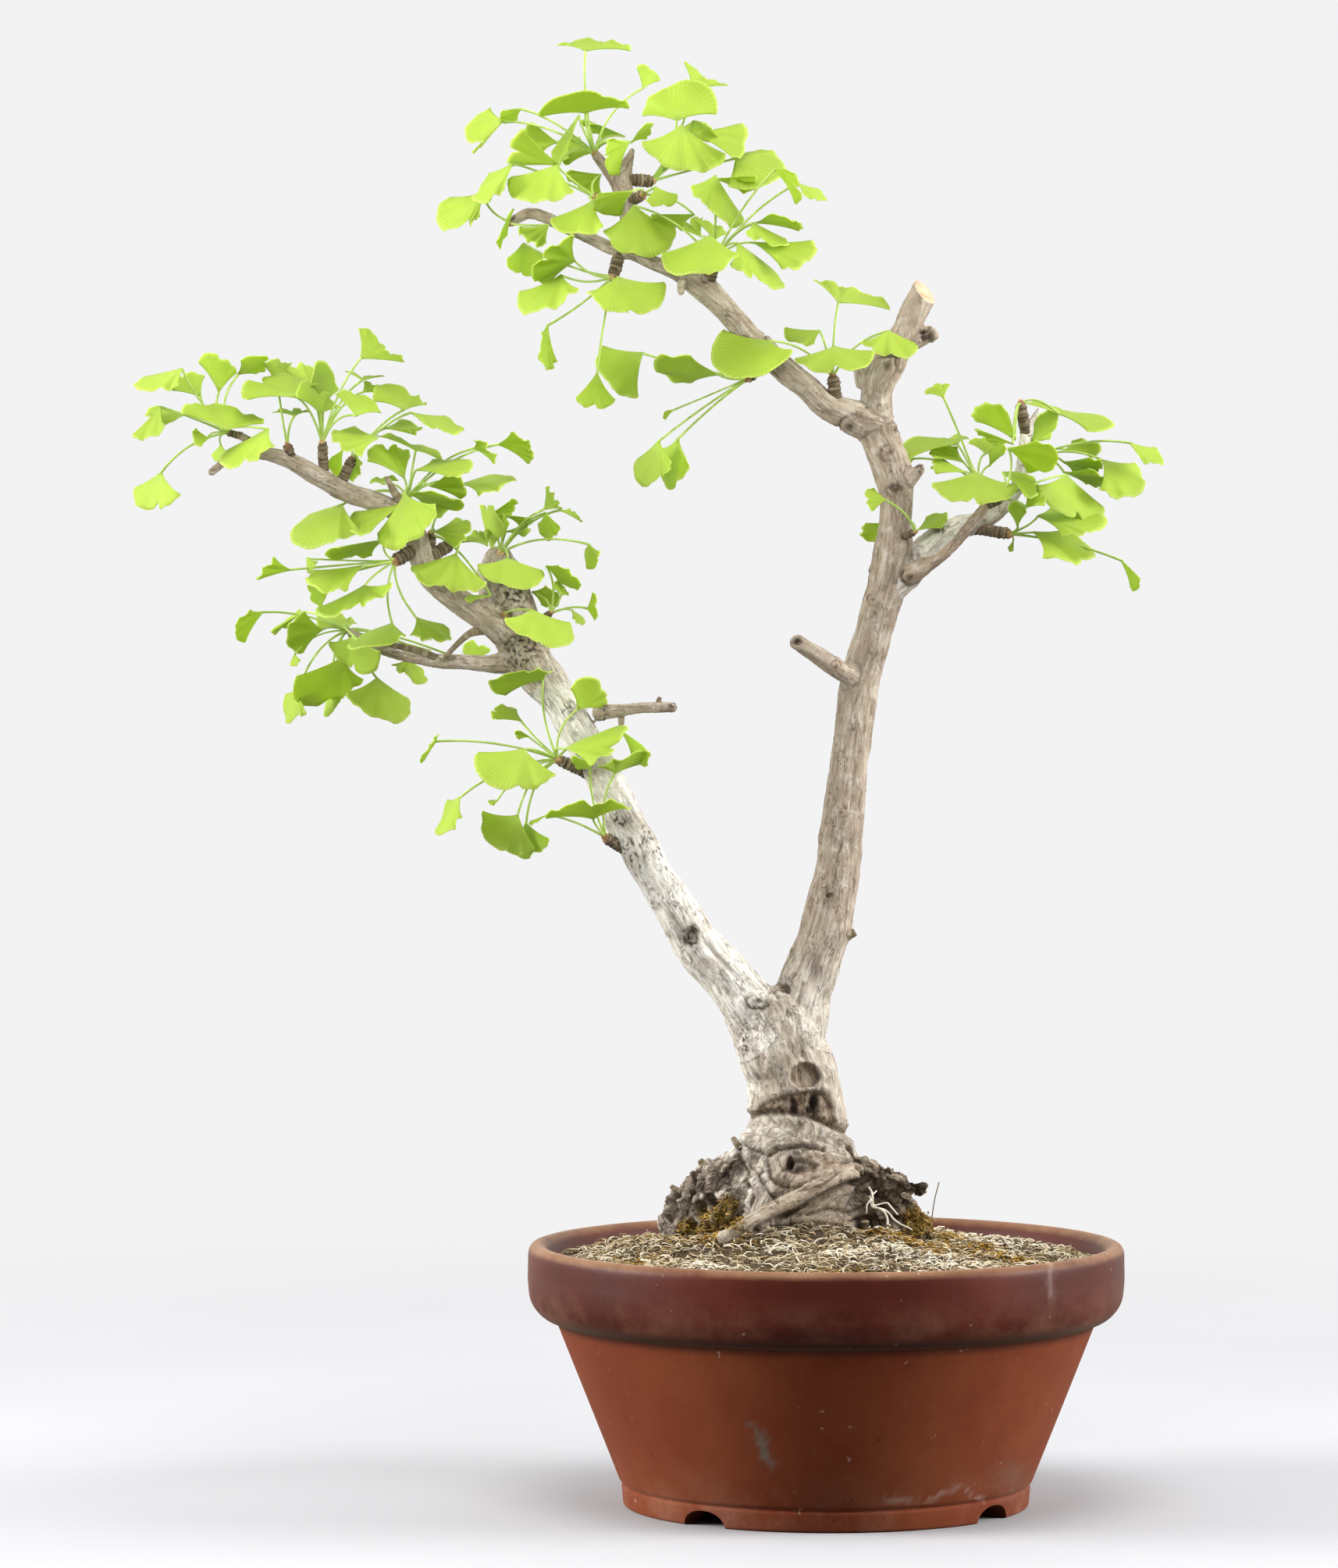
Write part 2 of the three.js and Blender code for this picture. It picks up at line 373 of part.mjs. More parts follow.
// ---------------------------------------------------------------- leaves
// Every leaf is [stalk end x,z, left corner x,z, right corner x,z, middle of the margin x,z, reach, size]
// as it shows in front elevation. reach: 1 comes toward the viewer, -1 goes away from them, 0 stays at the
// shoot's depth. size: blade length where it isn't the usual one. The lists stand under their shoot.
const LEAVES = {
  tipSpur: [
    [-323, 571, -344, 568, -325, 563, -336, 562, 0.4], [-314, 557, -329, 559, -312, 567, -324, 567, -0.5],
    [-305, 559, -315, 575, -295, 569, -303, 576, -0.2], [-295.5, 568, -294, 575, -286, 568, -282, 574, -0.9],
    [-301, 540, -325, 548, -282, 542, -302, 552, 0.9], [-280, 541, -303, 530, -277, 532, -292, 524, 0.7],
    [-334, 552, -348, 538, -332, 541, -343, 536, 0.2], [-322, 548, -335, 552, -328, 543, -336, 545, -0.7],
    [-334, 519, -349, 512, -325, 508, -338, 501, 0.5], 
    
  ],
  backNub: [
    [-267, 547, -279, 551, -259, 551, -268, 552, 0.2], [-275, 562, -284, 575, -268, 574, -276, 576, -0.7],
  ],
  tallSpur: [
    [-266, 556.5, -291, 557, -254, 565, -284, 568, 0.9], [-258, 561, -279, 567, -253, 573, -266, 574, -0.3],
    [-254, 548, -265, 557, -244, 551, -253, 560, 0.3], [-252, 553, -259, 563, -245, 560, -247, 566, -0.5],
    [-236, 547, -247, 559, -222, 550, -238, 560, 0.9], [-234, 576, -235, 592, -211, 574, -221, 580, 0],
    [-233, 565, -242, 571, -221, 568, -233, 567, -0.4, 20], [-233, 559, -232, 565, -224, 559, -226, 563, -1, 14],
  ],
  slantSpur: [
    [-243, 530, -250, 527, -243, 518, -249, 519, -0.8, 14], [-236, 528, -240, 517, -233, 524, -235, 517, -0.8, 12],
    [-225, 536, -237, 544, -233, 530, -246, 536, 0.8], [-212, 550, -227, 556, -200, 553, -208, 559, -0.5],
    [-209, 549, -206, 545, -191, 546, -191, 539, 0.3], [-222, 541, -214, 545, -210, 539, -205, 539, -0.3, 18],
  ],
  innerSpur: [
    [-206, 530, -229, 541, -189, 526, -211, 537, 0.3], [-206, 520, -198, 527, -190, 518, -180, 521, 0.9],
    [-212, 516, -230, 526, -207, 529, -219, 533, 0.1], [-223, 513, -230, 516, -215, 517, -223, 518, 0.5, 14],
    [-199, 512, -190, 519, -184, 506, -182, 512, 0.7], [-183, 513, -174, 519, -175, 510, -162, 514, -0.2],
    [-210, 508, -204, 511, -203, 503, -184, 506, 0.5], [-243, 503, -264, 502, -236, 494, -250, 486, 1],
    [-240, 504, -236, 506, -216, 500, -224, 503, -0.6, 20], [-213, 503, -238, 499, -229, 488, -240, 491, 0.4],
    [-212, 508, -228, 488, -196, 503, -208, 485, 1.1], [-177, 531, -175, 537, -165, 524, -167, 530, 0.1],
    [-165, 533, -158, 540, -149, 525, -148, 531, -0.3],
  ],
  knuckleSpur: [
    [-222, 485, -246, 484, -229, 480, -241, 478, 0.8], [-233, 472, -259, 471, -241, 461, -253, 460, 0.5],
    [-257, 464, -261, 462, -252, 460, -258, 454, 0.2, 13], [-269, 470, -277, 476, -286, 464, -283, 470, 0],
     [-232, 462, -257, 450, -216, 462, -235, 452, 0.6],
    [-218, 443, -235, 441, -212, 440, -221, 435, -0.2], [-206, 446, -208, 439, -191, 444, -197, 436, -0.3],
  ],
  lowerLeftEnd: [
    [-237, 437, -250, 434, -224, 429, -238, 420.5, 0.9], [-243, 426, -269, 418, -234, 417, -252, 405, 0.5],
    [-265, 411, -273, 408, -263, 398, -266, 397, -0.1, 19], [-248, 407, -252, 405, -245, 405, -249, 399, -0.9, 12],
    [-226, 416, -240, 410, -207, 407, -223, 396, -0.1], [-253, 440, -262, 449, -263, 428, -271, 438, 0.2],
    [-283, 449, -290, 451, -292, 435, -297, 438, -0.2], [-262, 449, -265, 452, -273, 444, -280, 439.5, -0.8],
    [-240, 441, -253, 442, -235, 445, -243, 448, -0.7, 16], 
    [-212, 433, -198, 432, -213, 428, -204, 429, -0.9, 18], [-210, 425, -218, 423, -202, 421, -211, 418, -1, 18],
    [-178, 422, -184, 429, -170, 429, -175, 432, -1, 16],
  ],
  darkSpur: [
    [-197, 489, -186, 497, -187, 482, -181, 488, 0.4], [-191, 505, -196, 501, -186, 505, -190, 500, 0.5, 12],
    [-168, 457, -178, 458, -179, 455, -180, 457, 1, 14],
  ],
  ringSpur: [
    [-186, 478, -210, 474, -170, 464, -191, 462, 1.1], [-170, 482, -183, 486, -168, 491, -176, 491, 0.3],
  ],
  stumpSpur: [
    [-168, 480, -176, 499, -162, 488, -172, 502, 0.4], [-170, 497, -159, 505, -161, 496, -157, 501, -0.3],
    [-161, 497, -150, 498, -153, 493, -148, 495, 0, 16], [-161, 489, -154, 493, -153, 489, -150, 492, -0.5, 14],
    [-163, 484, -165, 495, -160, 492, -161, 496, 0.3, 15], [-142, 500, -141, 512, -133, 500, -136, 506, -0.6],
    [-141, 499, -145, 493, -134, 492, -137, 487, 0.3, 18], [-134, 500, -129, 500, -124, 494, -126, 498, -0.6, 16],
    [-160, 476, -176, 473, -141, 471, -158, 462, 1], [-119, 483, -123, 481, -115, 479, -116, 474, -0.2, 12],
  ],
  barkSpur: [
    [-148, 450, -162, 446, -127, 444, -143, 434, 0.9],
  ],
  hookSpur: [
    [-141, 472, -134, 473, -134, 463, -126, 467, 0, 18], [-148, 459, -141, 462, -143, 452, -134, 454, -0.2, 18],
     
    [-120, 450.5, -118, 459, -117, 444, -116, 451, 0, 12],
  ],
  midSpur: [
    [-152, 380, -177, 381, -136, 369, -156, 361, 0.8], [-155, 347, -173, 349, -146, 330, -160, 328, 0.5],
    [-151, 343, -159, 333, -140, 335, -147, 328, -0.3], [-184, 356, -191, 355, -184, 346, -189, 340, 0.2, 19],
    [-196, 384, -195, 388, -202, 374, -200, 381, -0.2, 16], [-153, 394, -155, 401, -166, 395, -168, 400, -0.2, 16],
     [-131, 380, -105, 397, -121, 375, -107, 384, 0.9, 29],
    [-103, 389, -90, 382, -96, 374, -88, 377, 0.2, 19], [-125, 400, -129, 411, -111, 400, -113, 410, 0.6],
    [-142, 415, -162, 410, -137, 422, -152, 421, 0.8], 
  ],
  lowSpur: [
    [-117, 345, -142, 348, -97, 354, -118, 355.5, 0.7], [-106, 368, -115, 370, -93, 371, -103, 375, 0.4],
    [-118, 370, -120, 375, -124, 370, -126, 373, 0.5, 13], [-140, 347, -144, 346, -145, 344, -150, 343, 0.1, 12],
  ],
  endSpur: [
    [-157, 651, -164, 640, -160, 642, -165, 631, 0.4], [-139, 643, -155, 641, -141, 632, -149, 635, 0.4],
    [-172, 659, -190, 657, -174, 647, -181, 642, -0.4],
  ],
  hangSpur: [
    [-152, 634, -162, 626, -143, 628, -154, 619, -0.3], [-126, 625, -126, 637, -140, 612, -144, 626, 0.5],
    [-133, 618, -154, 608, -124, 611, -140, 601, 0.2], [-140, 593, -146, 589, -138, 576, -140, 570, 0],
    [-115, 569, -127, 556, -107, 555, -118, 552, 0.1], [-105, 617, -121, 609, -81, 613, -98, 598, 0.7],
  ],
  scarSpur: [
    [-97, 653, -112, 640, -74, 641, -93, 628, 0.7], [-58, 638, -84, 629, -44, 629, -63, 619, 0.9],
    [-45, 634, -46, 626, -22, 622, -34, 618, 0.6], [-36, 634, -22, 620, -6, 635, -10, 625, 0.2],
    [-37, 644, -41, 639, -19, 636, -30, 635, 0], [-35, 644, -31, 649, -13, 641, -14, 645, -0.5],
    [-56, 635, -66, 647, -48, 640, -57, 645, -0.6, 18], [-63, 637, -75, 641, -62, 647, -70, 645, -0.8, 18],
    [-56, 668, -66, 664, -39, 647, -57, 652, -0.2], [-56, 666, -37, 668, -41, 659, -36, 664, -0.7, 22],
    [-26, 671, -17, 673, -13, 655, -12, 662, -0.3, 18], [-15, 664, -4, 661, -12, 659, -3, 656, -0.7, 16],
  ],
  underSpur: [
    [-84, 535, -97, 526, -78, 524, -84, 517, 0.3], [-74.5, 536, -84, 531, -70, 526, -75, 513, -0.1],
     [-54, 568, -69, 577, -68, 562, -85, 570, 0.4, 29],
    [-92, 579, -114, 584, -95, 557, -110, 565, -0.3],
  ],
  nearSpur: [
    [-29, 585, -53, 591, -16, 580, -42, 566, 3.4], [4, 582, -17, 577, 25, 580, 3, 570, 0.7],
    [31, 590, 17, 585, 46, 585, 33, 578, 0.5], [6, 604, -7, 616, 33, 601, 11, 612, 0],
    [-3, 590, -21, 591, -6, 583, -15, 584, -0.3, 18],
  ],
  crownSpur: [
    [-121, 730, -136, 735, -97, 733, -111, 737, 0], [-121, 699, -145, 699, -98, 704, -113, 710, 0.2],
    [-124, 698, -138, 678, -131, 676, -138, 681, 0.5], [-153, 701, -161, 702, -155, 696, -164, 698, -0.3, 14],
    [-162, 695, -169, 702, -178, 678, -172, 684, 0.1], [-135, 684, -146, 695, -142, 680, -148, 687, -0.6, 18],
    [-134, 673, -153, 690, -159, 671, -158, 679, 0.7], [-101, 687, -116, 696, -110, 688, -119, 692, -0.6, 20],
    [-118, 679, -124, 688, -130, 673, -131, 682, -0.5, 16], [-99, 684, -109, 688, -105, 668, -112, 677, 0.7, 19],
    [-92, 711, -96, 722, -84, 715, -89, 721, -0.3, 13], [-98, 684, -95, 692, -92, 687, -89, 691, 0, 12],
  ],
  sideSpur: [
    [-135, 673, -160, 668, -127, 661, -145, 656, 0.9], [-157, 674, -170, 669, -161, 664, -171, 656, 0],
    [-117, 655, -139, 646, -111, 641, -126, 639, 0.6], [-113, 668, -129, 672, -113, 659, -125, 663, -0.4, 18],
  ],
  ringedSpur: [
    [-73, 693, -94, 684, -50, 677, -67, 670, 0.8], [-66, 689, -43, 694, -47, 675, -41, 684, 0.1],
    [-75, 695, -94, 698, -55, 699, -82, 712, -0.3], [-67, 711, -72, 725, -48, 713, -60, 716, -0.4],
    [-46, 676, -49, 665, -22, 678, -36, 683, 0], [-67, 695, -72, 693, -56, 692, -60, 695, -0.8, 16],
  ],
  budSpur: [
    [-97, 660, -113, 660, -103, 650, -117, 655, 0.8, 20], [-86, 662, -91, 655, -75, 658, -82, 653, 0.2, 14],
    [-66, 648, -87, 650, -73, 643, -85, 646, 0.3],
  ],
  rightSpur: [
    [106, 497, 113, 505, 119, 490, 133, 491, 0.3, 28], [104, 489, 121, 492, 110, 479, 131, 476, 0.5, 28],
    [148, 475, 158, 467, 154, 461, 158, 463, 0.2, 17], [96, 492, 91, 500, 101, 499, 97, 503, 0.4, 11],
    
  ],
  midRightSpur: [
    [59, 556, 49, 560, 62, 564, 55, 564, 0, 14], [66, 533, 40, 529, 72, 539, 57, 539, 0.1],
    [69, 524, 66, 532, 54, 526, 53, 531, 0, 17], [70, 519, 58, 526, 57, 518, 53, 523, 0.4, 17],
    [80, 528, 71, 534, 90, 533, 82, 537, -0.6, 15], [82, 522, 81, 529, 90, 528, 88, 533, -0.1, 13],
    [75, 519, 52, 514, 97, 512, 74, 504, 1.1], [44, 526, 34, 525, 40, 519, 35, 516, 1.1, 16],
  ],
  frontSpur: [
    [91, 531, 108, 537, 103, 517, 121, 524, 1.2], [88, 519, 98, 522, 101, 508, 107, 512, 0.3],
    [120, 518, 107, 514, 142, 503, 128, 497, 0.6], [100, 501, 100, 510, 109, 503, 108, 508, 0.2, 13],
  ],
  highSpur: [
    [95, 535, 76, 546, 95, 549, 79, 554, 0.3], [94, 533, 77, 543, 86, 535, 79, 539, 0.6, 19],
    [117, 548, 98, 555, 132, 541, 119, 552, -0.2], [103, 534, 104, 545, 110, 534, 114, 540, -0.9, 17],
  ],
  backSpur: [
    [120, 530, 123, 536, 133, 528, 135, 535, -0.3, 17], [152, 534, 165, 530, 156, 526, 163, 523, 0],
    [139, 525, 138, 511, 157, 525, 153, 508, 0.4], [119, 524, 133, 527, 124, 518, 137, 521, 0, 21],
    [119, 519, 132, 520, 131, 513, 139, 512, 0.2, 21],
  ],
  trunkBud: [
    [46, 490, 50, 497, 56, 491, 60, 496, -0.3, 16], [36, 493, 20, 495, 27, 487, 18, 492, -0.9, 20],
    [30, 505, 24, 512, 24, 500, 21, 506, -1, 14],
  ],
};
// Slope of the blade's plane: depth = u * x + v * z over the front elevation, found so that both
// corners and the middle of the margin lie one blade length from the stalk's end.
function bladeSlope(p, q, m, size) {
  let best = null;
  const lengths = size ? [size, size * 1.12] : [LEAF_R - 4, LEAF_R - 2, LEAF_R, LEAF_R + 2, LEAF_R + 4];
  for (const R of lengths) {
    for (let tilt = 0; tilt <= 80; tilt += 5) {
      for (let turn = 0; turn < 180; turn += 10) {
        const s = Math.tan((tilt * Math.PI) / 180);
        const u = s * Math.cos((turn * Math.PI) / 180);
        const v = s * Math.sin((turn * Math.PI) / 180);
        const len = (d) => Math.hypot(d[0], d[1], u * d[0] + v * d[1]) / R;
        const dot = (p[0] * q[0] + p[1] * q[1] + (u * p[0] + v * p[1]) * (u * q[0] + v * q[1]))
          / (len(p) * len(q) * R * R);
        const open = Math.acos(Math.max(-1, Math.min(1, dot)));
        const cost = (len(p) - 1) ** 2 + (len(q) - 1) ** 2 + 1.2 * (len(m) - 0.95) ** 2
          + 0.03 * (open - 2.2) ** 2 + 0.02 * (tilt / 80) ** 2 + 0.4 * (R / (size || LEAF_R) - 1) ** 2;
        if (!best || cost < best.cost - 1e-9) best = { cost, u, v };
      }
    }
  }
  return best;
}

// Outline of one blade in space: stalk end, side points, corners and waved margin.
function bladePoints(leaf, at, flip, scale, wave) {
  const [bx, bz, px, pz, qx, qz, mx, mz, reach, size] = leaf;
  const p = [px - bx, pz - bz];
  const q = [qx - bx, qz - bz];
  const m = [mx - bx, mz - bz];
  const slope = bladeSlope(p, q, m, size);
  const toward = slope.u * m[0] + slope.v * m[1] > 0 ? -1 : 1;
  const drop = m[1] < 2 ? 1 : -1;
  const sign = toward * drop * flip;
  const place = (d) => carry(bx + scale * d[0], bz + scale * d[1],
    at + scale * sign * (slope.u * d[0] + slope.v * d[1]));
  const B = place([0, 0]);
  const P = place(p);
  const Q = place(q);
  const M = place(m);
  const pv = P.clone().sub(B);
  const qv = Q.clone().sub(B);
  const mv = M.clone().sub(B);
  const n = pv.clone().sub(qv).cross(mv).normalize();
  if (n.z < 0) n.negate();
  const margin = [];
  const steps = size || reach < 0.7 ? 4 : 6;
  const middle = steps / 2;
  for (let i = 0; i <= steps; i++) {
    const t = i / steps;
    const half = t <= 0.5;
    const a = half ? pv : mv;
    const b = half ? mv : qv;
    const s = half ? t * 2 : t * 2 - 1;
    const v = a.clone().multiplyScalar(1 - s).addScaledVector(b, s);
    const want = a.length() * (1 - s) + b.length() * s;
    const bulge = 0.55 + 0.45 * Math.min(1, v.length() / Math.max(1, want));
    v.multiplyScalar((want / Math.max(v.length(), 0.45 * want)) * bulge);
    let notch = 1;
    if (i === middle) notch = 0.9;
    else if (i > 0 && i < steps) notch = 1.03;
    v.multiplyScalar(notch);
    v.addScaledVector(n, scale * wave * ((i % 2) * 2 - 1) * (i === 0 || i === steps ? 0 : 1));
    margin.push(B.clone().add(v));
  }
  const inward = (v) => B.clone().addScaledVector(v, 0.5).addScaledVector(mv, 0.09);
  return { B, P, Q, M, mv, n, centre: B.clone().addScaledVector(mv, 0.5).addScaledVector(n, 0.5), margin,
    sides: [inward(pv), inward(qv)] };
}

// Blade and stalk in one skin. The blade is a thin fan whose foot is a triangle that the three-sided
// stalk runs into. thick and grow widen it where only its clearance is wanted.
function leafBody(shape, line, thick, radius, grow, onlyBlade) {
  const { B, centre, margin, sides, n, mv } = shape;
  const across = mv.clone().normalize().cross(n).normalize();
  const side = across.dot(margin[0].clone().sub(B)) > 0 ? 1 : -1;
  const foot = B.clone().addScaledVector(mv, 0.04);
  const ring = [sides[0], ...margin, sides[1]].map((v) => (grow
    ? v.clone().add(v.clone().sub(centre).normalize().multiplyScalar(grow)) : v));
  const half = n.clone().multiplyScalar(thick / 2);
  const width = radius * 0.95 + grow;
  const points = [centre.clone().add(half), centre.clone().sub(half)];
  ring.forEach((v) => points.push(v.clone().add(half), v.clone().sub(half)));
  const count = ring.length;
  const left = points.length;
  points.push(foot.clone().addScaledVector(across, side * width).add(half));
  points.push(foot.clone().addScaledVector(across, -side * width).add(half));
  points.push(foot.clone().sub(half.clone().multiplyScalar(1.5)));
  const right = left + 1;
  const keel = left + 2;
  const top = (i) => 2 + 2 * i;
  const low = (i) => 3 + 2 * i;
  const faces = [];
  for (let i = 0; i < count - 1; i++) {
    faces.push([0, top(i), top(i + 1)], [1, low(i + 1), low(i)]);
    faces.push([top(i), low(i), top(i + 1)], [top(i + 1), low(i), low(i + 1)]);
  }
  faces.push([0, left, top(0)], [0, top(count - 1), right], [0, right, left]);
  faces.push([1, low(0), keel], [1, keel, low(count - 1)]);
  faces.push([left, keel, top(0)], [top(0), keel, low(0)]);
  faces.push([top(count - 1), low(count - 1), keel], [top(count - 1), keel, right]);
  if (onlyBlade) {
    faces.push([left, right, keel]);
  } else {
    let ends = [left, right, keel];
    let flatAcross = across.clone();
    const away = line.slice(0, line.length - 1).reverse();
    away.forEach((p, k) => {
      if (k === 0) return;
      const ahead = away[k - 1].clone().sub(away[Math.min(k + 1, away.length - 1)]).normalize();
      flatAcross = flatAcross.clone().addScaledVector(ahead, -flatAcross.dot(ahead)).normalize();
      const up = flatAcross.clone().cross(ahead).normalize();
      const next = [points.length, points.length + 1, points.length + 2];
      points.push(p.clone().addScaledVector(flatAcross, side * radius * 0.9).addScaledVector(up, radius * 0.5));
      points.push(p.clone().addScaledVector(flatAcross, -side * radius * 0.9).addScaledVector(up, radius * 0.5));
      points.push(p.clone().addScaledVector(up, -radius));
      for (let j = 0; j < 3; j++) {
        const h = (j + 1) % 3;
        faces.push([ends[j], ends[h], next[j]], [ends[h], next[h], next[j]]);
      }
      ends = next;
    });
    faces.push([ends[0], ends[1], ends[2]]);
  }
  let body = solid(points, faces);
  if (body.volume() < 0) {
    faces.forEach((f) => f.reverse());
    body = solid(points, faces);
  }
  return body;
}

// Bud at a shoot's end: two pyramids foot to foot, with one point down on the shoot.
function budBody(centre, dir, twist) {
  const ref = Math.abs(dir.y) > 0.8 ? new THREE.Vector3(1, 0, 0) : new THREE.Vector3(0, 1, 0);
  const u = ref.addScaledVector(dir, -ref.dot(dir)).normalize().applyAxisAngle(dir, twist);
  const v = dir.clone().cross(u);
  const points = [dir, u, v, dir.clone().negate(), u.clone().negate(), v.clone().negate()]
    .map((d) => centre.clone().addScaledVector(d, BUD_R));
  return solid(points, [[0, 1, 2], [0, 2, 4], [0, 4, 5], [0, 5, 1], [3, 2, 1], [3, 4, 2], [3, 5, 4], [3, 1, 5]]);
}

function stalkPoints(root, dir, B, inset = 0.45) {
  const reach = B.distanceTo(root);
  const bend = root.clone().lerp(B, 0.4).addScaledVector(dir, Math.min(7, reach * 0.25));
  bend.z += reach * 0.07;
  const at = (t) => {
    const a = root.clone().lerp(bend, t);
    const b = bend.clone().lerp(B, t);
    return a.lerp(b, t);
  };
  const start = root.clone().addScaledVector(at(0.2).sub(root).normalize(), inset * BUD_R);
  if (reach < 13) return [start, B.clone(), B.clone()];
  return [start, at(0.4), B.clone(), B.clone()];
}

function leafDepth(base, tip, leaf) {
  const flatReach = Math.hypot(leaf[0] - tip[0], leaf[1] - tip[1]);
  const room = Math.sqrt(Math.max(0, STALK_L * STALK_L - flatReach * flatReach));
  return tip[2] - leaf[8] * Math.max(6, Math.min(26, room));
}

// ---------------------------------------------------------------- build
const group = new THREE.Group();
const colours = {
  pot: 0x8a4327, soil: 0xa08a5c, tree: 0xa39281, leaf: 0xa6d14a, screen: 0x2b2b2b,
};
function addNode(name, body, colour, rough) {
  const mesh = new THREE.Mesh(toGeometry(body), new THREE.MeshStandardMaterial({ color: colour, roughness: rough }));
  mesh.name = name;
  group.add(mesh);
  return mesh;
}

const pot = makePot();
const { wood, peg } = makeWood();
const soilLow = makeSoil(0);
const soilHigh = makeSoil(GAP);
const tree = cleanest([0.9, 0.87, 0.93, 0.84, 0.96, 0.8, 1],
  (tol) => largest(largest(wood.simplify(tol)).subtract(soilHigh)).simplify(0.06).add(peg));
const hole = Manifold.cylinder(120, PEG_R + GAP, PEG_R + GAP, 14).translate([-15, 0, PEG_BOTTOM - GAP]);
const soil = soilLow.subtract(hole);
const screen = Manifold.cylinder(SCREEN_T, SCREEN_R, SCREEN_R, 16).translate([0, 0, FLOOR_TOP + GAP]);
addNode('pot', pot, colours.pot, 0.8);
addNode('drain_screen', screen, colours.screen, 0.6);
addNode('soil', soil, colours.soil, 1);
addNode('tree', tree, colours.tree, 0.9);

const TRY = [0, 4, -4, 8, -8, 12, -12, 17, -17, 22, -22, 28, -28];
const placed = [];
const boxOf = (body) => body.boundingBox();
const apart = (a, b) => {
  for (let k = 0; k < 3; k++) if (a.min[k] > b.max[k] || b.min[k] > a.max[k]) return true;
  return false;
};
const treeBox = boxOf(tree);
function clash(body, node) {
  const box = boxOf(body);
  if (!apart(box, treeBox) && body.intersect(tree).volume() > 1e-4) return true;
  for (const other of placed) {
    if (apart(box, other.box)) continue;
    const both = node === other.node ? other.blade : other.body;
    if (body.intersect(both).volume() > 1e-4) return true;
  }
  return false;
}

const shootEnds = {};
const bodies = {};
for (const name of Object.keys(LEAVES)) {
  let row = SHOOTS[name];
  if (LIMB_ENDS[name]) {
    const [a, b] = LIMBS[LIMB_ENDS[name]].rows.slice(-2);
    row = [...a.slice(0, 3), ...b];
  }
  const foot = carry(row[0], row[1], row[2]);
  const end = carry(row[3], row[4], row[5]);
  const dir = end.clone().sub(foot).normalize();
  const bud = end.clone().addScaledVector(dir, BUD_R + GAP);
  shootEnds[name] = { foot, end, dir, bud, tip: [row[3], row[4], row[5]] };
  bodies[name] = [];
}
for (const [name, info] of Object.entries(shootEnds)) {
  const c = info.bud;
  const guard = Manifold.sphere(BUD_R + 0.1, 6).translate([c.x, c.y, c.z]);
  placed.push({ node: name, body: guard, blade: guard, box: boxOf(guard) });
  placed[placed.length - 1].blade = Manifold.sphere(0.05, 4).translate([c.x, c.y, c.z]);
}
for (const [name, list] of Object.entries(LEAVES)) {
  const info = shootEnds[name];
  list.forEach((leaf) => {
    const own = leafDepth(info.foot, info.tip, leaf);
    let done = false;
    for (const scale of [1, 0.85]) {
      for (const step of TRY) {
        for (const flip of [1, -1]) {
          if (done) continue;
          const shape = bladePoints(leaf, own + step, flip, scale, 0.55);
          const line = stalkPoints(info.bud, info.dir, shape.B);
          if (clash(leafBody(shape, line, BLADE_T + 0.6, STALK_R + 0.3, 0.3, true), '')) continue;
          if (clash(leafBody(shape, line, BLADE_T + 0.6, STALK_R + 0.3, 0.3, false), name)) continue;
          const real = leafBody(shape, line, BLADE_T, STALK_R, 0, true);
          const both = leafBody(shape, line, BLADE_T, STALK_R, 0, false);
          bodies[name].push({ shape, both });
          placed.push({ node: name, body: both, blade: real, box: boxOf(both) });
          done = true;
        }
      }
    }
  });
}
for (const [name, list] of Object.entries(bodies)) {
  const { bud, dir } = shootEnds[name];
  const node = cleanest([0, 1, 2, 3, 4, 5, 6, 7, 8, 9, 10, 11], (k) => {
    const leaves = list.map(({ shape }) => {
      const line = stalkPoints(bud, dir, shape.B, 0.45 + 0.012 * k);
      return leafBody(shape, line, BLADE_T, STALK_R, 0, false);
    });
    return largest(largest(Manifold.union([budBody(bud, dir, 0.19 * k), ...leaves])).simplify(0.15));
  });
  addNode('leaves_' + name, node, colours.leaf, 0.55);
}
// Stand the whole part on the origin: middle of its bounding box, lowest point at z = 0.
const box = new THREE.Box3().setFromObject(group);
const shift = new THREE.Vector3(-(box.min.x + box.max.x) / 2, -(box.min.y + box.max.y) / 2, -box.min.z);
group.children.forEach((m) => m.geometry.translate(shift.x, shift.y, shift.z));

export default group;
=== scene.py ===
"""Ginkgo bonsai in a round terracotta training bowl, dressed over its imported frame.

The layout lists are in millimetres about the bowl's axis; every mesh made from them is in metres.
"""

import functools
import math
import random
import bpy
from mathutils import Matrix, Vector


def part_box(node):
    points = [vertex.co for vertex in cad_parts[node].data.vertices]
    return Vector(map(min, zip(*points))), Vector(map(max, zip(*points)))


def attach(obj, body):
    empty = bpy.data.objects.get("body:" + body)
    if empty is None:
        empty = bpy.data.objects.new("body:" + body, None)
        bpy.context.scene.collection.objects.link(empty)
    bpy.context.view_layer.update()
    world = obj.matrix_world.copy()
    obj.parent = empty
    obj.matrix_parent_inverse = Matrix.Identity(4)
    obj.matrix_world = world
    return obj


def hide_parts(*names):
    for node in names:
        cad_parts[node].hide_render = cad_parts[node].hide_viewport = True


bl_info = {
    "name": "Ginkgo Bonsai",
    "version": (1, 0, 0),
    "blender": (4, 5, 0),
    "location": "3D View > Sidebar > Ginkgo",
    "description": "Dresses a two-trunked ginkgo bonsai: bowl, soil, wood, spurs, buds and fan leaves",
    "category": "Add Mesh",
}

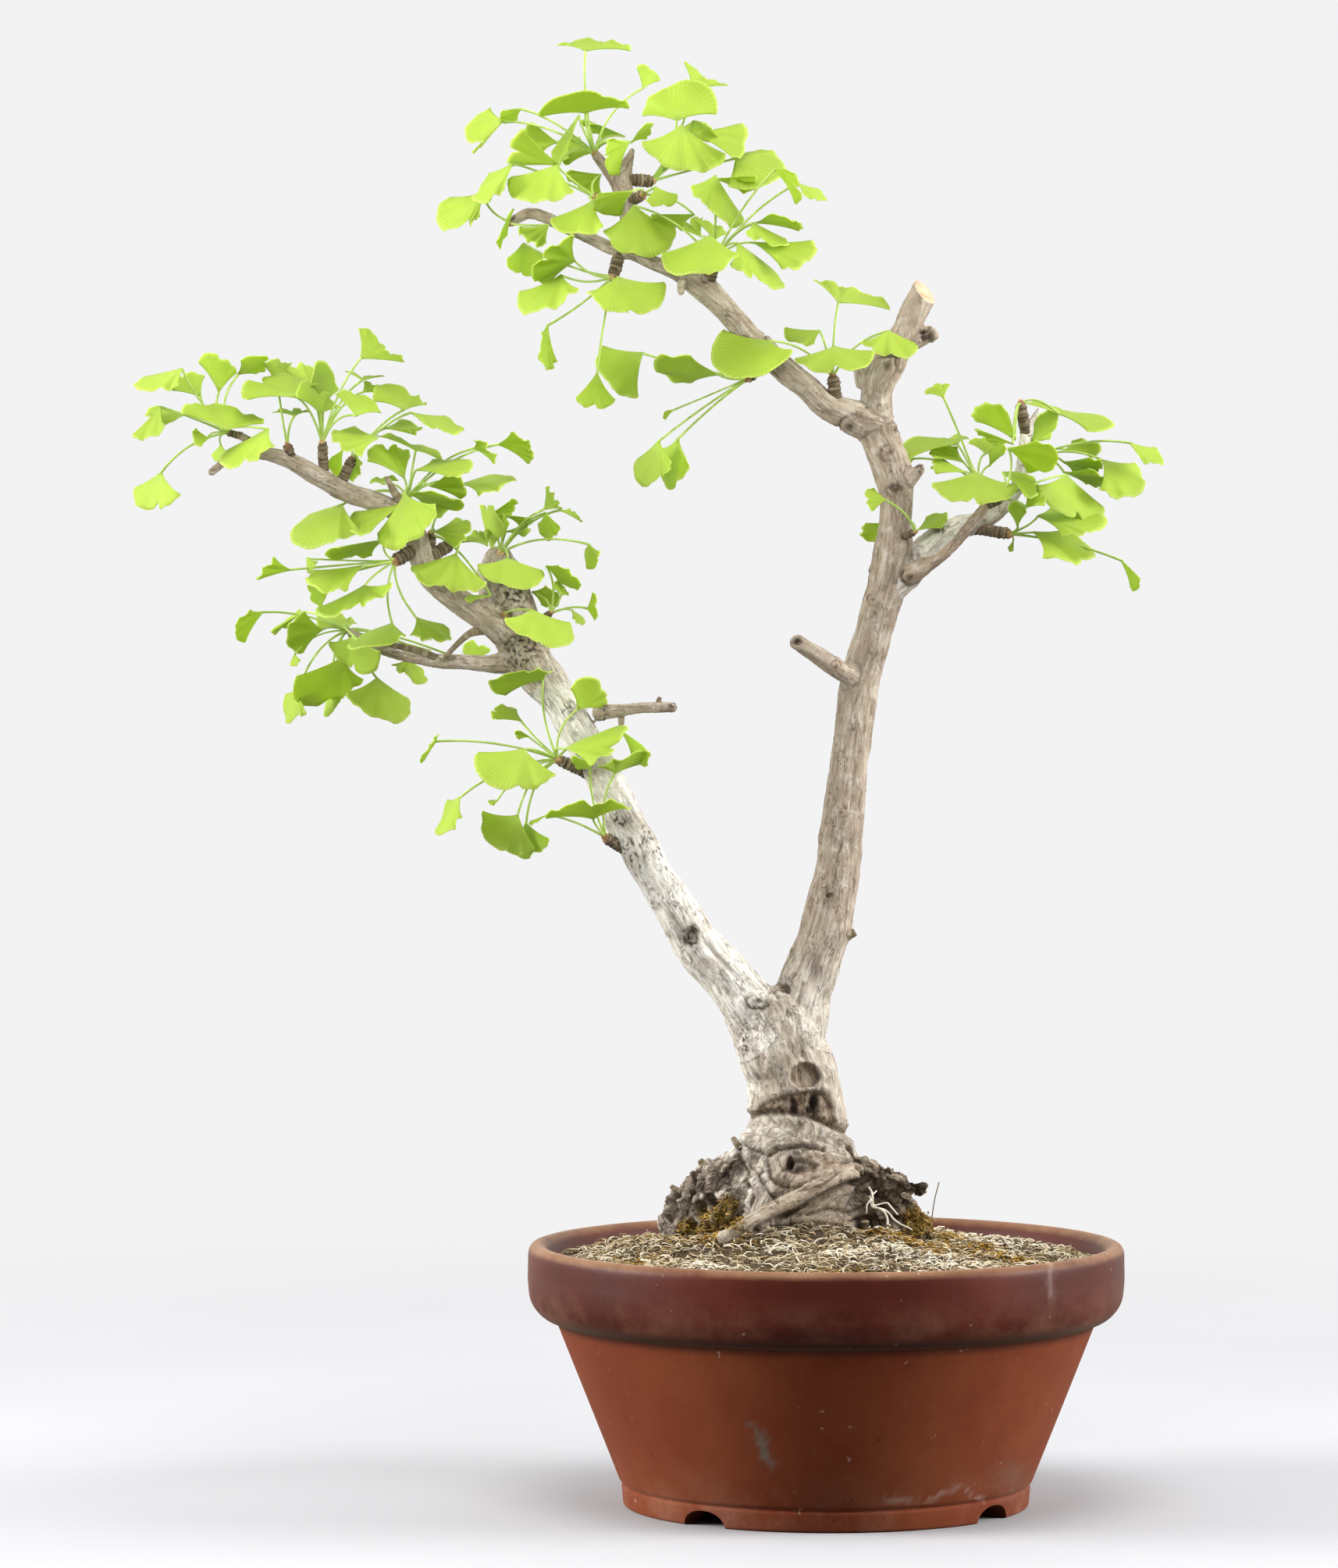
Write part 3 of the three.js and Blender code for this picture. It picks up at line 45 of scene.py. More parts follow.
import bmesh
import bpy
import numpy as np
from bpy.props import FloatProperty, FloatVectorProperty, IntProperty, PointerProperty
from mathutils import Vector, noise
from mathutils.bvhtree import BVHTree
from mathutils.kdtree import KDTree

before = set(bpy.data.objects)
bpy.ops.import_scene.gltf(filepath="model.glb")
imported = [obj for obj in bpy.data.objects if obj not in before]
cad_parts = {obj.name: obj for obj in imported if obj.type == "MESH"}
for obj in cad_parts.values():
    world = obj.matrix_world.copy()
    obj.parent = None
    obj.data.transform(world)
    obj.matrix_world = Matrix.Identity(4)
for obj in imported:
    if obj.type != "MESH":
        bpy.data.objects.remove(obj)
# Noise vectors start from the clock unless they are seeded; plain noise is the same each run.
noise.seed_set(7)
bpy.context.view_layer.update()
BOWL_LOW, BOWL_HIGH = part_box("pot")
AXIS_X = (BOWL_LOW.x + BOWL_HIGH.x) / 2

# ---- layout
RIM_R, POT_H, BAND_H = 150.0, 132.0, 36.0
WALL_TOP_R, WALL_FOOT_R, FOOT_R, LIP_IN_R = 136.0, 104.0, 102.0, 138.0
WALL, FLOOR_TOP, FOOT_REC, FOOT_W = 10.0, 20.0, 9.0, 13.0
NOTCH_W, NOTCH_H, NOTCH_AT, NOTCHES = 25.0, 8.0, -37.5, 4
DRAIN_R, SCREEN_R, SCREEN_T = 13.0, 22.0, 1.2
GAP, SOIL_EDGE_Z, SOIL_MOUND = 0.35, 121.5, 25.0
STALK_L, LEAF_R, BUD_R = 33.0, 25.0, 2.9
BOWL_SIDES, SOIL_SIDES, TRUNK_SIDES, LIMB_SIDES, FLOOR_SIDES = 360, 150, 32, 22, 96
# Share of the wood's faces that is kept once its bark is carved.
FACES_KEPT = 0.68

# The tree is laid out in front elevation for a viewer who stands here.
VIEW = np.array((-79.0, -2895.0, 420.6))

# Wood rows: x, z, depth, radius, from the root of a limb to its end. Shoots: their foot, end and radius.
TRUNK = (
    (-15,128,0,34),(-15,148,0,33),(-15,160,0,31.5),(-15.5,171,0,29),(-15.5,181,0,26.5),(-13,190,0,24.6),
    (-14.7,200,0,23.2),(-16.5,210,0,22.4),(-19,219,0,22.2),(-23,228,0,22.6),(-25,238,0,22.4),(-27,247,0,19),
)
LEFT_TRUNK = (
    (-26,232,-1,17),(-46,260,-3,12.9),(-64,281,-5,12),(-76,301,-7,11),(-89,321,-8,9.8),(-99.7,341,-9,9.9),
    (-109.5,361,-8,9.2),(-120.5,381,-7,9),(-133,403,-5,8.7),(-147,422,-2,11.4),(-156,441,4,12.6),
    (-161,456,8,13),(-164,468,9,12.5),(-165,476,10,8),
)
RIGHT_TRUNK = (
    (-18,230,2,17),(-10.5,260,4,14),(-3.5,280,5,13),(2.2,300,6,12.3),(5.9,321,7,11.3),(9,347,8,10.7),
    (12.3,378,9,9.5),(16.8,412,9,10.2),(24.2,441,7,9.5),(31,467,5,9.8),(35.2,498,3,8.3),(33.6,518,3,10),
    (26,538,4,9.4),(24.8,558,5,8),(30,572,5,8.6),(38.5,587,5,7.2),(44.5,600,5,6.9),(51.5,614,5,6.7),
)
LIMBS = {
    "topShoulder": ((20,562,5,5.5),(18.6,570,5,5),(17.8,577,5,3.8)),
    "stubKnob": ((43,584,4,4.6),(49,587.5,4,4.2),(54,588,4,3.2)),
    "leftBranch": ((-156,434,-2,8.5),(-172,446,-6,6.9),(-188,457,-9,6.6),(-199,467,-11,6.2),(-204,478,-13,6),
        (-207,489,-16,5.6),(-215,499,-19,5.2),(-228,504.5,-22,5),(-240,508.5,-25,4.9),(-250,514,-27,5),
        (-260,519.5,-29,4.7),(-270,525,-31,4.2),(-280,528,-33,3.5),(-290,528.5,-35,2.9),(-297,527,-36,2.5),
        (-303,523.5,-37,2.2),(-309,518.5,-38,1.9)),
    "leftTipShoot": ((-276,527,-32,2.5),(-286,533,-33,2.1),(-295,537.5,-33,1.9)),
    "lowerLeft": ((-148,425,0,7),(-165,422.8,3,5),(-180,423.6,8,3.9),(-193,424,12,3.7),(-205,425.5,16,3),
        (-217,427.6,20,2.5),(-228,432,25,2.2),(-239.5,439,31,1.8)),
    "greyTwig": ((-194,425,12,2),(-204,429,8,1.8),(-214,431.4,5,1.7),(-224,433.4,2,1.4)),
    "crookTwig": ((-173,440,-6,3),(-179,438,-8,1.9),(-184,434,-9,1.6),(-188,430,-8,1.4),(-191.5,426,-4,1.3)),
    "thornTwig": ((-213,499,-19,2.9),(-215,505,-22,2.3),(-218,511,-25,1.8),(-221,516.3,-28,1.1)),
    "trunkStub": ((-116,398,-8,4.4),(-104,399.4,-13,3.3),(-92,400.6,-17,2.9),(-77,401,-22,2.7)),
    "rightStub": ((17,414,5,5.4),(6,420,-2,4.5),(-5,427.5,-9,4.3),(-15,434,-15,4.1)),
    "darkStub": ((38,511,1,4.4),(43.5,516.5,0,3.4),(47.5,521,-1,2.5)),
    "upperLeft": ((24,543,4,9.6),(14,546.8,2,8.3),(0,552.4,-1,6.9),(-10,561.5,-3,6.4),(-20,569.6,-5,6.2),
        (-30,578.8,-7,6),(-40,588.6,-9,5.9),(-50,600,-11,6.1),(-60,609.5,-13,6.3),(-68,614.5,-15,5.3),
        (-77,620,-17,4),(-88,624.5,-19,3.5),(-97,628.3,-21,3.5),(-107,630.6,-19,3.2),(-118,636,-16,3),
        (-129,640.5,-12,2.9),(-139,645.8,-9,3),(-149,648.6,-6,2.9),(-157.6,644.6,-5,2.7)),
    "crookNub": ((-70,616,-16,3),(-72.8,612.5,-20,2.3),(-73,608.5,-22,1.5)),
    "upright": ((-98,626,-21,3.4),(-99,640,-17,4.1),(-100,652,-13,4.7),(-102.5,663,-10,5.3),(-101,671,-9,3.6),
        (-97.3,680.5,-8,1.3)),
    "uprightLeft": ((-103,661,-10,4.2),(-108.5,668.5,-9,3.1),(-115.6,677.8,-8,2.4)),
    "rightBranch": ((30,459,5,8.4),(41,470,6,8.2),(50,479.5,9,7.5),(60,487.4,13,6.4),(67,491.6,16,5.9),
        (76,493.4,19,5.3),(85,499,22,4.8),(91.5,505.5,25,4.1),(96.5,513.5,28,3.5),(98.5,525,30,3.1),
        (100.3,538,32,2.9),(103.6,545.4,33,1.7),(107.3,550.8,34,1.2)),
    "frontBranch": ((41,467,-1,4.8),(50,471.6,-5,3.5),(58,477,-8,2.8),(66,484.6,-10,2.6),(74,494.6,-12,2.6),
        (80.5,502.6,-13,2.4)),
}
ROOTS = (
    ((-20,182,-2,15),(-38,174,-4,13.5),(-54,164,-6,13),(-65,152,-7,12.6),(-72,138,-8,12.5),(-76,124,-8,11)),
    ((2,174,-4,13),(16,169,-8,9),(29,164.5,-11,7.6),(38,162,-13,6.2),(46,158.4,-15,4.2)),
    ((5,166,0,14),(24,155,-1,13),(40,141,-2,13),(52,126,-2,10)),
    ((16.5,168.3,-18,3.9),(8,165.8,-29,4),(-2,160.8,-36,3.9),(-14,154.6,-39,3.8),(-26,148.4,-43,3.8),
     (-38,142.2,-47,3.7),(-52,133.5,-51,3.5)),
    ((-18,178,12,13),(-26,160,26,11),(-32,144,42,9),(-36,126,56,7)),
    ((-6,172,12,12),(6,156,28,9),(16,142,42,7.5),(24,126,54,6)),
    ((-24,168,-14,12),(-32,150,-26,10),(-38,130,-36,8)),
    ((-34,166,-10,12),(-47,151,-14,12),(-56,136,-18,11),(-60,122,-20,9)),
)
SHOOTS = {
    "tipSpur": (-295,537.5,-33,-299.5,538.6,-34,1.7), "backNub": (-268,525,-31,-270.2,531.2,-35,2.1),
    "tallSpur": (-252,514,-27,-253,532.6,-29,2.4), "slantSpur": (-246.5,508,-26,-238.6,524.4,-22,2.5),
    "innerSpur": (-211.5,496,-18,-210.3,504.5,-16,2.2), "knuckleSpur": (-204,482,-14,-215.6,475,-21,3.2),
    "darkSpur": (-199.5,469,-11,-198.8,486.4,-7,2.7), "ringSpur": (-200,476,-10,-190,482,-2,3),
    "stumpSpur": (-164,472,8,-163.6,477.4,4,2.6), "barkSpur": (-157,446,2,-161.2,447.4,-9,2.4),
    "hookSpur": (-149,441,2,-139.4,447.6,-6,1.7), "midSpur": (-121,368,-9,-134,374.4,-16,2.6),
    "lowSpur": (-102,330,-11,-110,335,-17,2.7), "hangSpur": (-103.5,629,-20,-106.8,618,-21,2.8),
    "scarSpur": (-59,612,-14,-57,623,-19,2.8), "underSpur": (-31,574,-8,-38.6,566.6,-13,2.5),
    "nearSpur": (5,555,-2,3.4,565.6,-4,2.9), "sideSpur": (-101,652,-12,-115.4,656.6,-19,2.3),
    "ringedSpur": (-101,665.6,-10,-89,664.8,-4,2.9), "budSpur": (-99,654,-13,-93,657.6,-20,2.5),
    "rightSpur": (76,490.6,17,90.6,488.2,12,2.8), "midRightSpur": (84,498.6,22,77.4,511.4,20,2.3),
    "frontSpur": (80,502,-13,86.2,504.6,-15,2), "highSpur": (100.3,538,32,97.8,552,31,2.7),
    "backSpur": (98.4,522,30,104,526.4,25,1.9), "trunkBud": (37,486,0,43.6,488.6,-8,1.7),
}
LIMB_ENDS = {"lowerLeftEnd": "lowerLeft", "endSpur": "upperLeft", "crownSpur": "uprightLeft"}
# Leaf rows: the blade's foot in the front elevation, then from it to the ends of the outer veins and of the
# middle one, and how far the leaf comes forward; last, where it is small, its length.
LEAVES = {
    "tipSpur": ((-323,571,-21,-3,-2,-8,-13,-9,0.4),(-314,557,-15,2,2,10,-10,10,-0.5),
        (-305,559,-10,16,10,10,2,17,-0.2),(-295.5,568,1.5,7,9.5,0,13.5,6,-0.9),
        (-301,540,-24,8,19,2,-1,12,0.9),(-280,541,-23,-11,3,-9,-12,-17,0.7),
        (-334,552,-14,-14,2,-11,-9,-16,0.2),(-322,548,-13,4,-6,-5,-14,-3,-0.7),
        (-334,519,-15,-7,9,-11,-4,-18,0.5)),
    "backNub": ((-267,547,-12,4,8,4,-1,5,0.2),(-275,562,-9,13,7,12,-1,14,-0.7)),
    "tallSpur": ((-266,556.5,-25,0.5,12,8.5,-18,11.5,0.9),(-258,561,-21,6,5,12,-8,13,-0.3),
        (-254,548,-11,9,10,3,1,12,0.3),(-252,553,-7,10,7,7,5,13,-0.5),(-236,547,-11,12,14,3,-2,13,0.9),
        (-234,576,-1,16,23,-2,13,4,0),(-233,565,-9,6,12,3,0,2,-0.4,20),(-233,559,1,6,9,0,7,4,-1,14)),
    "slantSpur": ((-243,530,-7,-3,0,-12,-6,-11,-0.8,14),(-236,528,-4,-11,3,-4,1,-11,-0.8,12),
        (-225,536,-12,8,-8,-6,-21,0,0.8),(-212,550,-15,6,12,3,4,9,-0.5),(-209,549,3,-4,18,-3,18,-10,0.3),
        (-222,541,8,4,12,-2,17,-2,-0.3,18)),
    "innerSpur": ((-206,530,-23,11,17,-4,-5,7,0.3),(-206,520,8,7,16,-2,26,1,0.9),
        (-212,516,-18,10,5,13,-7,17,0.1),(-223,513,-7,3,8,4,0,5,0.5,14),(-199,512,9,7,15,-6,17,0,0.7),
        (-183,513,9,6,8,-3,21,1,-0.2),(-210,508,6,3,7,-5,26,-2,0.5),(-243,503,-21,-1,7,-9,-7,-17,1),
        (-240,504,4,2,24,-4,16,-1,-0.6,20),(-213,503,-25,-4,-16,-15,-27,-12,0.4),
        (-212,508,-16,-20,16,-5,4,-23,1.1),(-177,531,2,6,12,-7,10,-1,0.1),(-165,533,7,7,16,-8,17,-2,-0.3)),
    "knuckleSpur": ((-222,485,-24,-1,-7,-5,-19,-7,0.8),(-233,472,-26,-1,-8,-11,-20,-12,0.5),
        (-257,464,-4,-2,5,-4,-1,-10,0.2,13),(-269,470,-8,6,-17,-6,-14,0,0),(-232,462,-25,-12,16,0,-3,-10,0.6),
        (-218,443,-17,-2,6,-3,-3,-8,-0.2),(-206,446,-2,-7,15,-2,9,-10,-0.3)),
    "lowerLeftEnd": ((-237,437,-13,-3,13,-8,-1,-16.5,0.9),(-243,426,-26,-8,9,-9,-9,-21,0.5),
        (-265,411,-8,-3,2,-13,-1,-14,-0.1,19),(-248,407,-4,-2,3,-2,-1,-8,-0.9,12),
        (-226,416,-14,-6,19,-9,3,-20,-0.1),(-253,440,-9,9,-10,-12,-18,-2,0.2),
        (-283,449,-7,2,-9,-14,-14,-11,-0.2),(-262,449,-3,3,-11,-5,-18,-9.5,-0.8),
        (-240,441,-13,1,5,4,-3,7,-0.7,16),(-212,433,14,-1,-1,-5,8,-4,-0.9,18),
        (-210,425,-8,-2,8,-4,-1,-7,-1,18),(-178,422,-6,7,8,7,3,10,-1,16)),
    "darkSpur": ((-197,489,11,8,10,-7,16,-1,0.4),(-191,505,-5,-4,5,0,1,-5,0.5,12),
        (-168,457,-10,1,-11,-2,-12,0,1,14)),
    "ringSpur": ((-186,478,-24,-4,16,-14,-5,-16,1.1),(-170,482,-13,4,2,9,-6,9,0.3)),
    "stumpSpur": ((-168,480,-8,19,6,8,-4,22,0.4),(-170,497,11,8,9,-1,13,4,-0.3),
        (-161,497,11,1,8,-4,13,-2,0,16),(-161,489,7,4,8,0,11,3,-0.5,14),(-163,484,-2,11,3,8,2,12,0.3,15),
        (-142,500,1,12,9,0,6,6,-0.6),(-141,499,-4,-6,7,-7,4,-12,0.3,18),(-134,500,5,0,10,-6,8,-2,-0.6,16),
        (-160,476,-16,-3,19,-5,2,-14,1),(-119,483,-4,-2,4,-4,3,-9,-0.2,12)),
    "barkSpur": ((-148,450,-14,-4,21,-6,5,-16,0.9),),
    "hookSpur": ((-141,472,7,1,7,-9,15,-5,0,18),(-148,459,7,3,5,-7,14,-5,-0.2,18),
        (-120,450.5,2,8.5,3,-6.5,4,0.5,0,12)),
    "midSpur": ((-152,380,-25,1,16,-11,-4,-19,0.8),(-155,347,-18,2,9,-17,-5,-19,0.5),
        (-151,343,-8,-10,11,-8,4,-15,-0.3),(-184,356,-7,-1,0,-10,-5,-16,0.2,19),
        (-196,384,1,4,-6,-10,-4,-3,-0.2,16),(-153,394,-2,7,-13,1,-15,6,-0.2,16),
        (-131,380,26,17,10,-5,24,4,0.9,29),(-103,389,13,-7,7,-15,15,-12,0.2,19),
        (-125,400,-4,11,14,0,12,10,0.6),(-142,415,-20,-5,5,7,-10,6,0.8)),
    "lowSpur": ((-117,345,-25,3,20,9,-1,10.5,0.7),(-106,368,-9,2,13,3,3,7,0.4),
        (-118,370,-2,5,-6,0,-8,3,0.5,13),(-140,347,-4,-1,-5,-3,-10,-4,0.1,12)),
    "endSpur": ((-157,651,-7,-11,-3,-9,-8,-20,0.4),(-139,643,-16,-2,-2,-11,-10,-8,0.4),
        (-172,659,-18,-2,-2,-12,-9,-17,-0.4)),
    "hangSpur": ((-152,634,-10,-8,9,-6,-2,-15,-0.3),(-126,625,0,12,-14,-13,-18,1,0.5),
        (-133,618,-21,-10,9,-7,-7,-17,0.2),(-140,593,-6,-4,2,-17,0,-23,0),(-115,569,-12,-13,8,-14,-3,-17,0.1),
        (-105,617,-16,-8,24,-4,7,-19,0.7)),
    "scarSpur": ((-97,653,-15,-13,23,-12,4,-25,0.7),(-58,638,-26,-9,14,-9,-5,-19,0.9),
        (-45,634,-1,-8,23,-12,11,-16,0.6),(-36,634,14,-14,30,1,26,-9,0.2),(-37,644,-4,-5,18,-8,7,-9,0),
        (-35,644,4,5,22,-3,21,1,-0.5),(-56,635,-10,12,8,5,-1,10,-0.6,18),(-63,637,-12,4,1,10,-7,8,-0.8,18),
        (-56,668,-10,-4,17,-21,-1,-16,-0.2),(-56,666,19,2,15,-7,20,-2,-0.7,22),
        (-26,671,9,2,13,-16,14,-9,-0.3,18),(-15,664,11,-3,3,-5,12,-8,-0.7,16)),
    "underSpur": ((-84,535,-13,-9,6,-11,0,-18,0.3),(-74.5,536,-9.5,-5,4.5,-10,-0.5,-23,-0.1),
        (-54,568,-15,9,-14,-6,-31,2,0.4,29),(-92,579,-22,5,-3,-22,-18,-14,-0.3)),
    "nearSpur": ((-29,585,-24,6,13,-5,-13,-19,3.4),(4,582,-21,-5,21,-2,-1,-12,0.7),
        (31,590,-14,-5,15,-5,2,-12,0.5),(6,604,-13,12,27,-3,5,8,0),(-3,590,-18,1,-3,-7,-12,-6,-0.3,18)),
    "crownSpur": ((-121,730,-15,5,24,3,10,7,0),(-121,699,-24,0,23,5,8,11,0.2),
        (-124,698,-14,-20,-7,-22,-14,-17,0.5),(-153,701,-8,1,-2,-5,-11,-3,-0.3,14),
        (-162,695,-7,7,-16,-17,-10,-11,0.1),(-135,684,-11,11,-7,-4,-13,3,-0.6,18),
        (-134,673,-19,17,-25,-2,-24,6,0.7),(-101,687,-15,9,-9,1,-18,5,-0.6,20),
        (-118,679,-6,9,-12,-6,-13,3,-0.5,16),(-99,684,-10,4,-6,-16,-13,-7,0.7,19),
        (-92,711,-4,11,8,4,3,10,-0.3,13),(-98,684,3,8,6,3,9,7,0,12)),
    "sideSpur": ((-135,673,-25,-5,8,-12,-10,-17,0.9),(-157,674,-13,-5,-4,-10,-14,-18,0),
        (-117,655,-22,-9,6,-14,-9,-16,0.6),(-113,668,-16,4,0,-9,-12,-5,-0.4,18)),
    "ringedSpur": ((-73,693,-21,-9,23,-16,6,-23,0.8),(-66,689,23,5,19,-14,25,-5,0.1),
        (-75,695,-19,3,20,4,-7,17,-0.3),(-67,711,-5,14,19,2,7,5,-0.4),(-46,676,-3,-11,24,2,10,7,0),
        (-67,695,-5,-2,11,-3,7,0,-0.8,16)),
    "budSpur": ((-97,660,-16,0,-6,-10,-20,-5,0.8,20),(-86,662,-5,-7,11,-4,4,-9,0.2,14),
        (-66,648,-21,2,-7,-5,-19,-2,0.3)),
    "rightSpur": ((106,497,7,8,13,-7,27,-6,0.3,28),(104,489,17,3,6,-10,27,-13,0.5,28),
        (148,475,10,-8,6,-14,10,-12,0.2,17),(96,492,-5,8,5,7,1,11,0.4,11)),
    "midRightSpur": ((59,556,-10,4,3,8,-4,8,0,14),(66,533,-26,-4,6,6,-9,6,0.1),(69,524,-3,8,-15,2,-16,7,0,17),
        (70,519,-12,7,-13,-1,-17,4,0.4,17),(80,528,-9,6,10,5,2,9,-0.6,15),(82,522,-1,7,8,6,6,11,-0.1,13),
        (75,519,-23,-5,22,-7,-1,-15,1.1),(44,526,-10,-1,-4,-7,-9,-10,1.1,16)),
    "frontSpur": ((91,531,17,6,12,-14,30,-7,1.2),(88,519,10,3,13,-11,19,-7,0.3),
        (120,518,-13,-4,22,-15,8,-21,0.6),(100,501,0,9,9,2,8,7,0.2,13)),
    "highSpur": ((95,535,-19,11,0,14,-16,19,0.3),(94,533,-17,10,-8,2,-15,6,0.6,19),
        (117,548,-19,7,15,-7,2,4,-0.2),(103,534,1,11,7,0,11,6,-0.9,17)),
    "backSpur": ((120,530,3,6,13,-2,15,5,-0.3,17),(152,534,13,-4,4,-8,11,-11,0),
        (139,525,-1,-14,18,0,14,-17,0.4),(119,524,14,3,5,-6,18,-3,0,21),(119,519,13,1,12,-6,20,-7,0.2,21)),
    "trunkBud": ((46,490,4,7,10,1,14,6,-0.3,16),(36,493,-16,2,-9,-6,-18,-1,-0.9,20),
        (30,505,-6,7,-6,-5,-9,1,-1,14)),
}
# Thin dry twigs and nubs, in the same rows.
NUBS = (
    ((-85,401,-19,1.9),(-83.6,406,-20,1.1)),((-103,398.5,-13,1.9),(-103,387,-14,1.0)),
    ((-60,169,-9,2.4),(-63.5,173,-10,1.7)),((-74,157,-9,2.0),(-78,160,-10,1.2)),
    ((-44,180,-12,2.0),(-47,184.5,-13,1.2)),
    ((7,284,4,2.9),(14.6,288,3,2.2)),((-12,276.5,4,2.6),(-17.6,279.4,3,1.7)),
    ((53,140,-8,0.35),(54.5,152,-9,0.3),(57,162,-10,0.25)),
)
# Healed cuts, knots, hollows and dead wood, by kind: x, z, half width, half height.
MARKS = {
    "knot": ((42.5,466.5,4.5,3.5),(46,477,3.2,4.6),(31.5,528.5,4.6,4),(34,540,4.6,4.4),(30,572,5.4,6),
        (-60,617,3.2,3.2),(4.4,421.5,2.7,2.7),(7.6,348.3,3,2.6),(13.2,286.4,3,3),(-128,398,4,3),
        (21,470,2.4,2.2),(56,489,3,2.5),(14,250,3,3),(24,455,3,3),(-28,586,3.5,2.5),(12.4,542.5,7,5),
        (-34.5,253,6.5,3.6)),
    "dead": ((46.8,520.6,2.4,2.6),(-158,458,9,9),(-153,430,10,11),(-112,397,3,4.5),(-41,235,2.6,8),
        (-104,344,3.2,4.4),(-158,644,3,3.4),(-77,401,2.2,3)),
    "cut": ((-11,215.5,7.4,7),),
    "eye": ((-13,169.5,16,9),(35,511,5.2,5.2),(1.7,306.4,3.6,3.2),(-20.5,259,6,4.5)),
    "hole": ((-18,172,1.6,3.2),(-16.5,200,1.9,4.6),(-5.5,202,2.3,5.6),(-8,198,2.6,1.8),(-14.5,434,2.3,2.3)),
    "wound": ((-68.2,285,4.6,5.6),(50,587.5,3.6,3.8)),
    "char": ((46,161,5,5.5),),
}
# Cracks, ledges and painted shadow lines across the wood, each cut in and painted dark: width, depth, then x,
# z along them.
CRACKS_AND_SHADOW_LINES = (
    # The ledge: its dark line is a painted shadow under the lip.
    (1.3,2.6,((-43,192.5),(-36,195.5),(-28,196.5),(-18,196.5),(-8,194.5),(2,190.5),(12,186.5),(18,183))),
    (1.2,0.7,((-34,199.5),(-28,203),(-20,205.5),(-14,206.5),(-6,208),(1,206),(3,199))),
    (1.0,1.2,((-29,170),(-28,164),(-22,160),(-12,158),(-2,160),(5,166))),
    (1.6,3.0,((11,180),(15,175),(17,169),(20,164),(24,161))),(1.4,2.4,((-44,183),(-43,174),(-39,166))),
    (1.0,1.6,((-40,162),(-36,155),(-41,146))),
    # A groove under the surface root, painted dark as the root's painted shadow.
    (1.5,3.2,((19,163.3),(9,160.6),(-1,155.4),(-13,149.2),(-25,143),(-36,137.6))),
    (1.2,1.8,((20,158),(28,156),(34,150))),
)
# Folds of skin on the wood under the surface root.
FOLDS = (
    ((-10,145.5),(0,148.5),(12,147),(22,150.5),(31,149)),
    ((-20,139),(-8,141.5),(4,140),(16,143.5),(28,142),(36,144)),
    ((-4,134.5),(10,136.5),(22,135),(32,137)),
    ((15,157.5),(23,156),(31,152.5),(38,151)),
    ((-40,180),(-30,176),(-24,178),(-12,180),(0,178)),
    ((-38,170),(-33,165),(-29,158),(-24,152)),
)
CRACKS_AND_SHADOW_LINES += tuple((0.9, 1.5, line) for line in FOLDS)
# Leaves painted darker as painted shade, where they lie in shade and show their underside, by shoot and place
# in its list.
SHADED = {
    "hangSpur": (1,), "lowerLeftEnd": (0,5), "tallSpur": (2,3), "backNub": (1,), "midSpur": (2,),
    "underSpur": (3,), "frontSpur": (1,), "backSpur": (3,), "knuckleSpur": (4,5,6), "crownSpur": (7,),
    "trunkBud": (0,),
}
# Half-open leaves, in the same rows as the others.
TINY = {
    "tipSpur": ((-310,536,-7,5,-4,-5,-8,1,0.6,9),(-304,533,-5,-5,4,-5,0,-8,-0.4,9)),
    "lowerLeftEnd": ((-267,428,-3,-4,2,-3,-1,-6,0,8),),
    "hookSpur": ((-133,457,-4,4,4,0,1,5,0.2,8),(-128,450,1,-4,6,-3,4,-7,-0.2,8)),
    "midSpur": ((-149,386,-4,4,-5,0,-7,2,0.5,8),(-165,354,-3,1,-2,-2,-4,-1,0.6,6)),
    "underSpur": ((-77,550,-3,1,-4,-4,-5,-2,0,6),),
    "rightSpur": ((94,485,-2.5,-4,0.5,-4,-1,-6,0,6),),
    "knuckleSpur": ((-261,476,-1,-7,4,-1,2,-6,-0.5,10),),
}


def carry(x, z, y):
    """Point at depth y on the line of sight through (x, z) of the front elevation."""
    t = 1 + y / -VIEW[1]
    return np.array((VIEW[0] + (x - VIEW[0]) * t, y, VIEW[2] + (z - VIEW[2]) * t))


def elevation(points):
    """Front elevation (x, z) of points in millimetres: the reverse of carry."""
    t = 1 + points[:, 1] / -VIEW[1]
    return np.stack((VIEW[0] + (points[:, 0] - VIEW[0]) / t, VIEW[2] + (points[:, 2] - VIEW[2]) / t), 1)


def metres(points):
    return np.asarray(points, float) * 0.001 + np.array((AXIS_X, 0.0, 0.0))


def unit(v):
    return v / max(1e-12, float(np.linalg.norm(v)))


def smoothstep(low, high, value):
    t = np.clip((value - low) / (high - low), 0, 1)
    return t * t * (3 - 2 * t)


def ridge(d, middle, width):
    """1 on a line at this distance, fading to 0 on both sides of it."""
    return np.exp(-((d - middle) / width) ** 2)


def fading(d, rate, power=2):
    """1 in the middle, fading to 0 outward; a higher power has a flatter top and a steeper side."""
    return np.exp(-(d * rate) ** power)


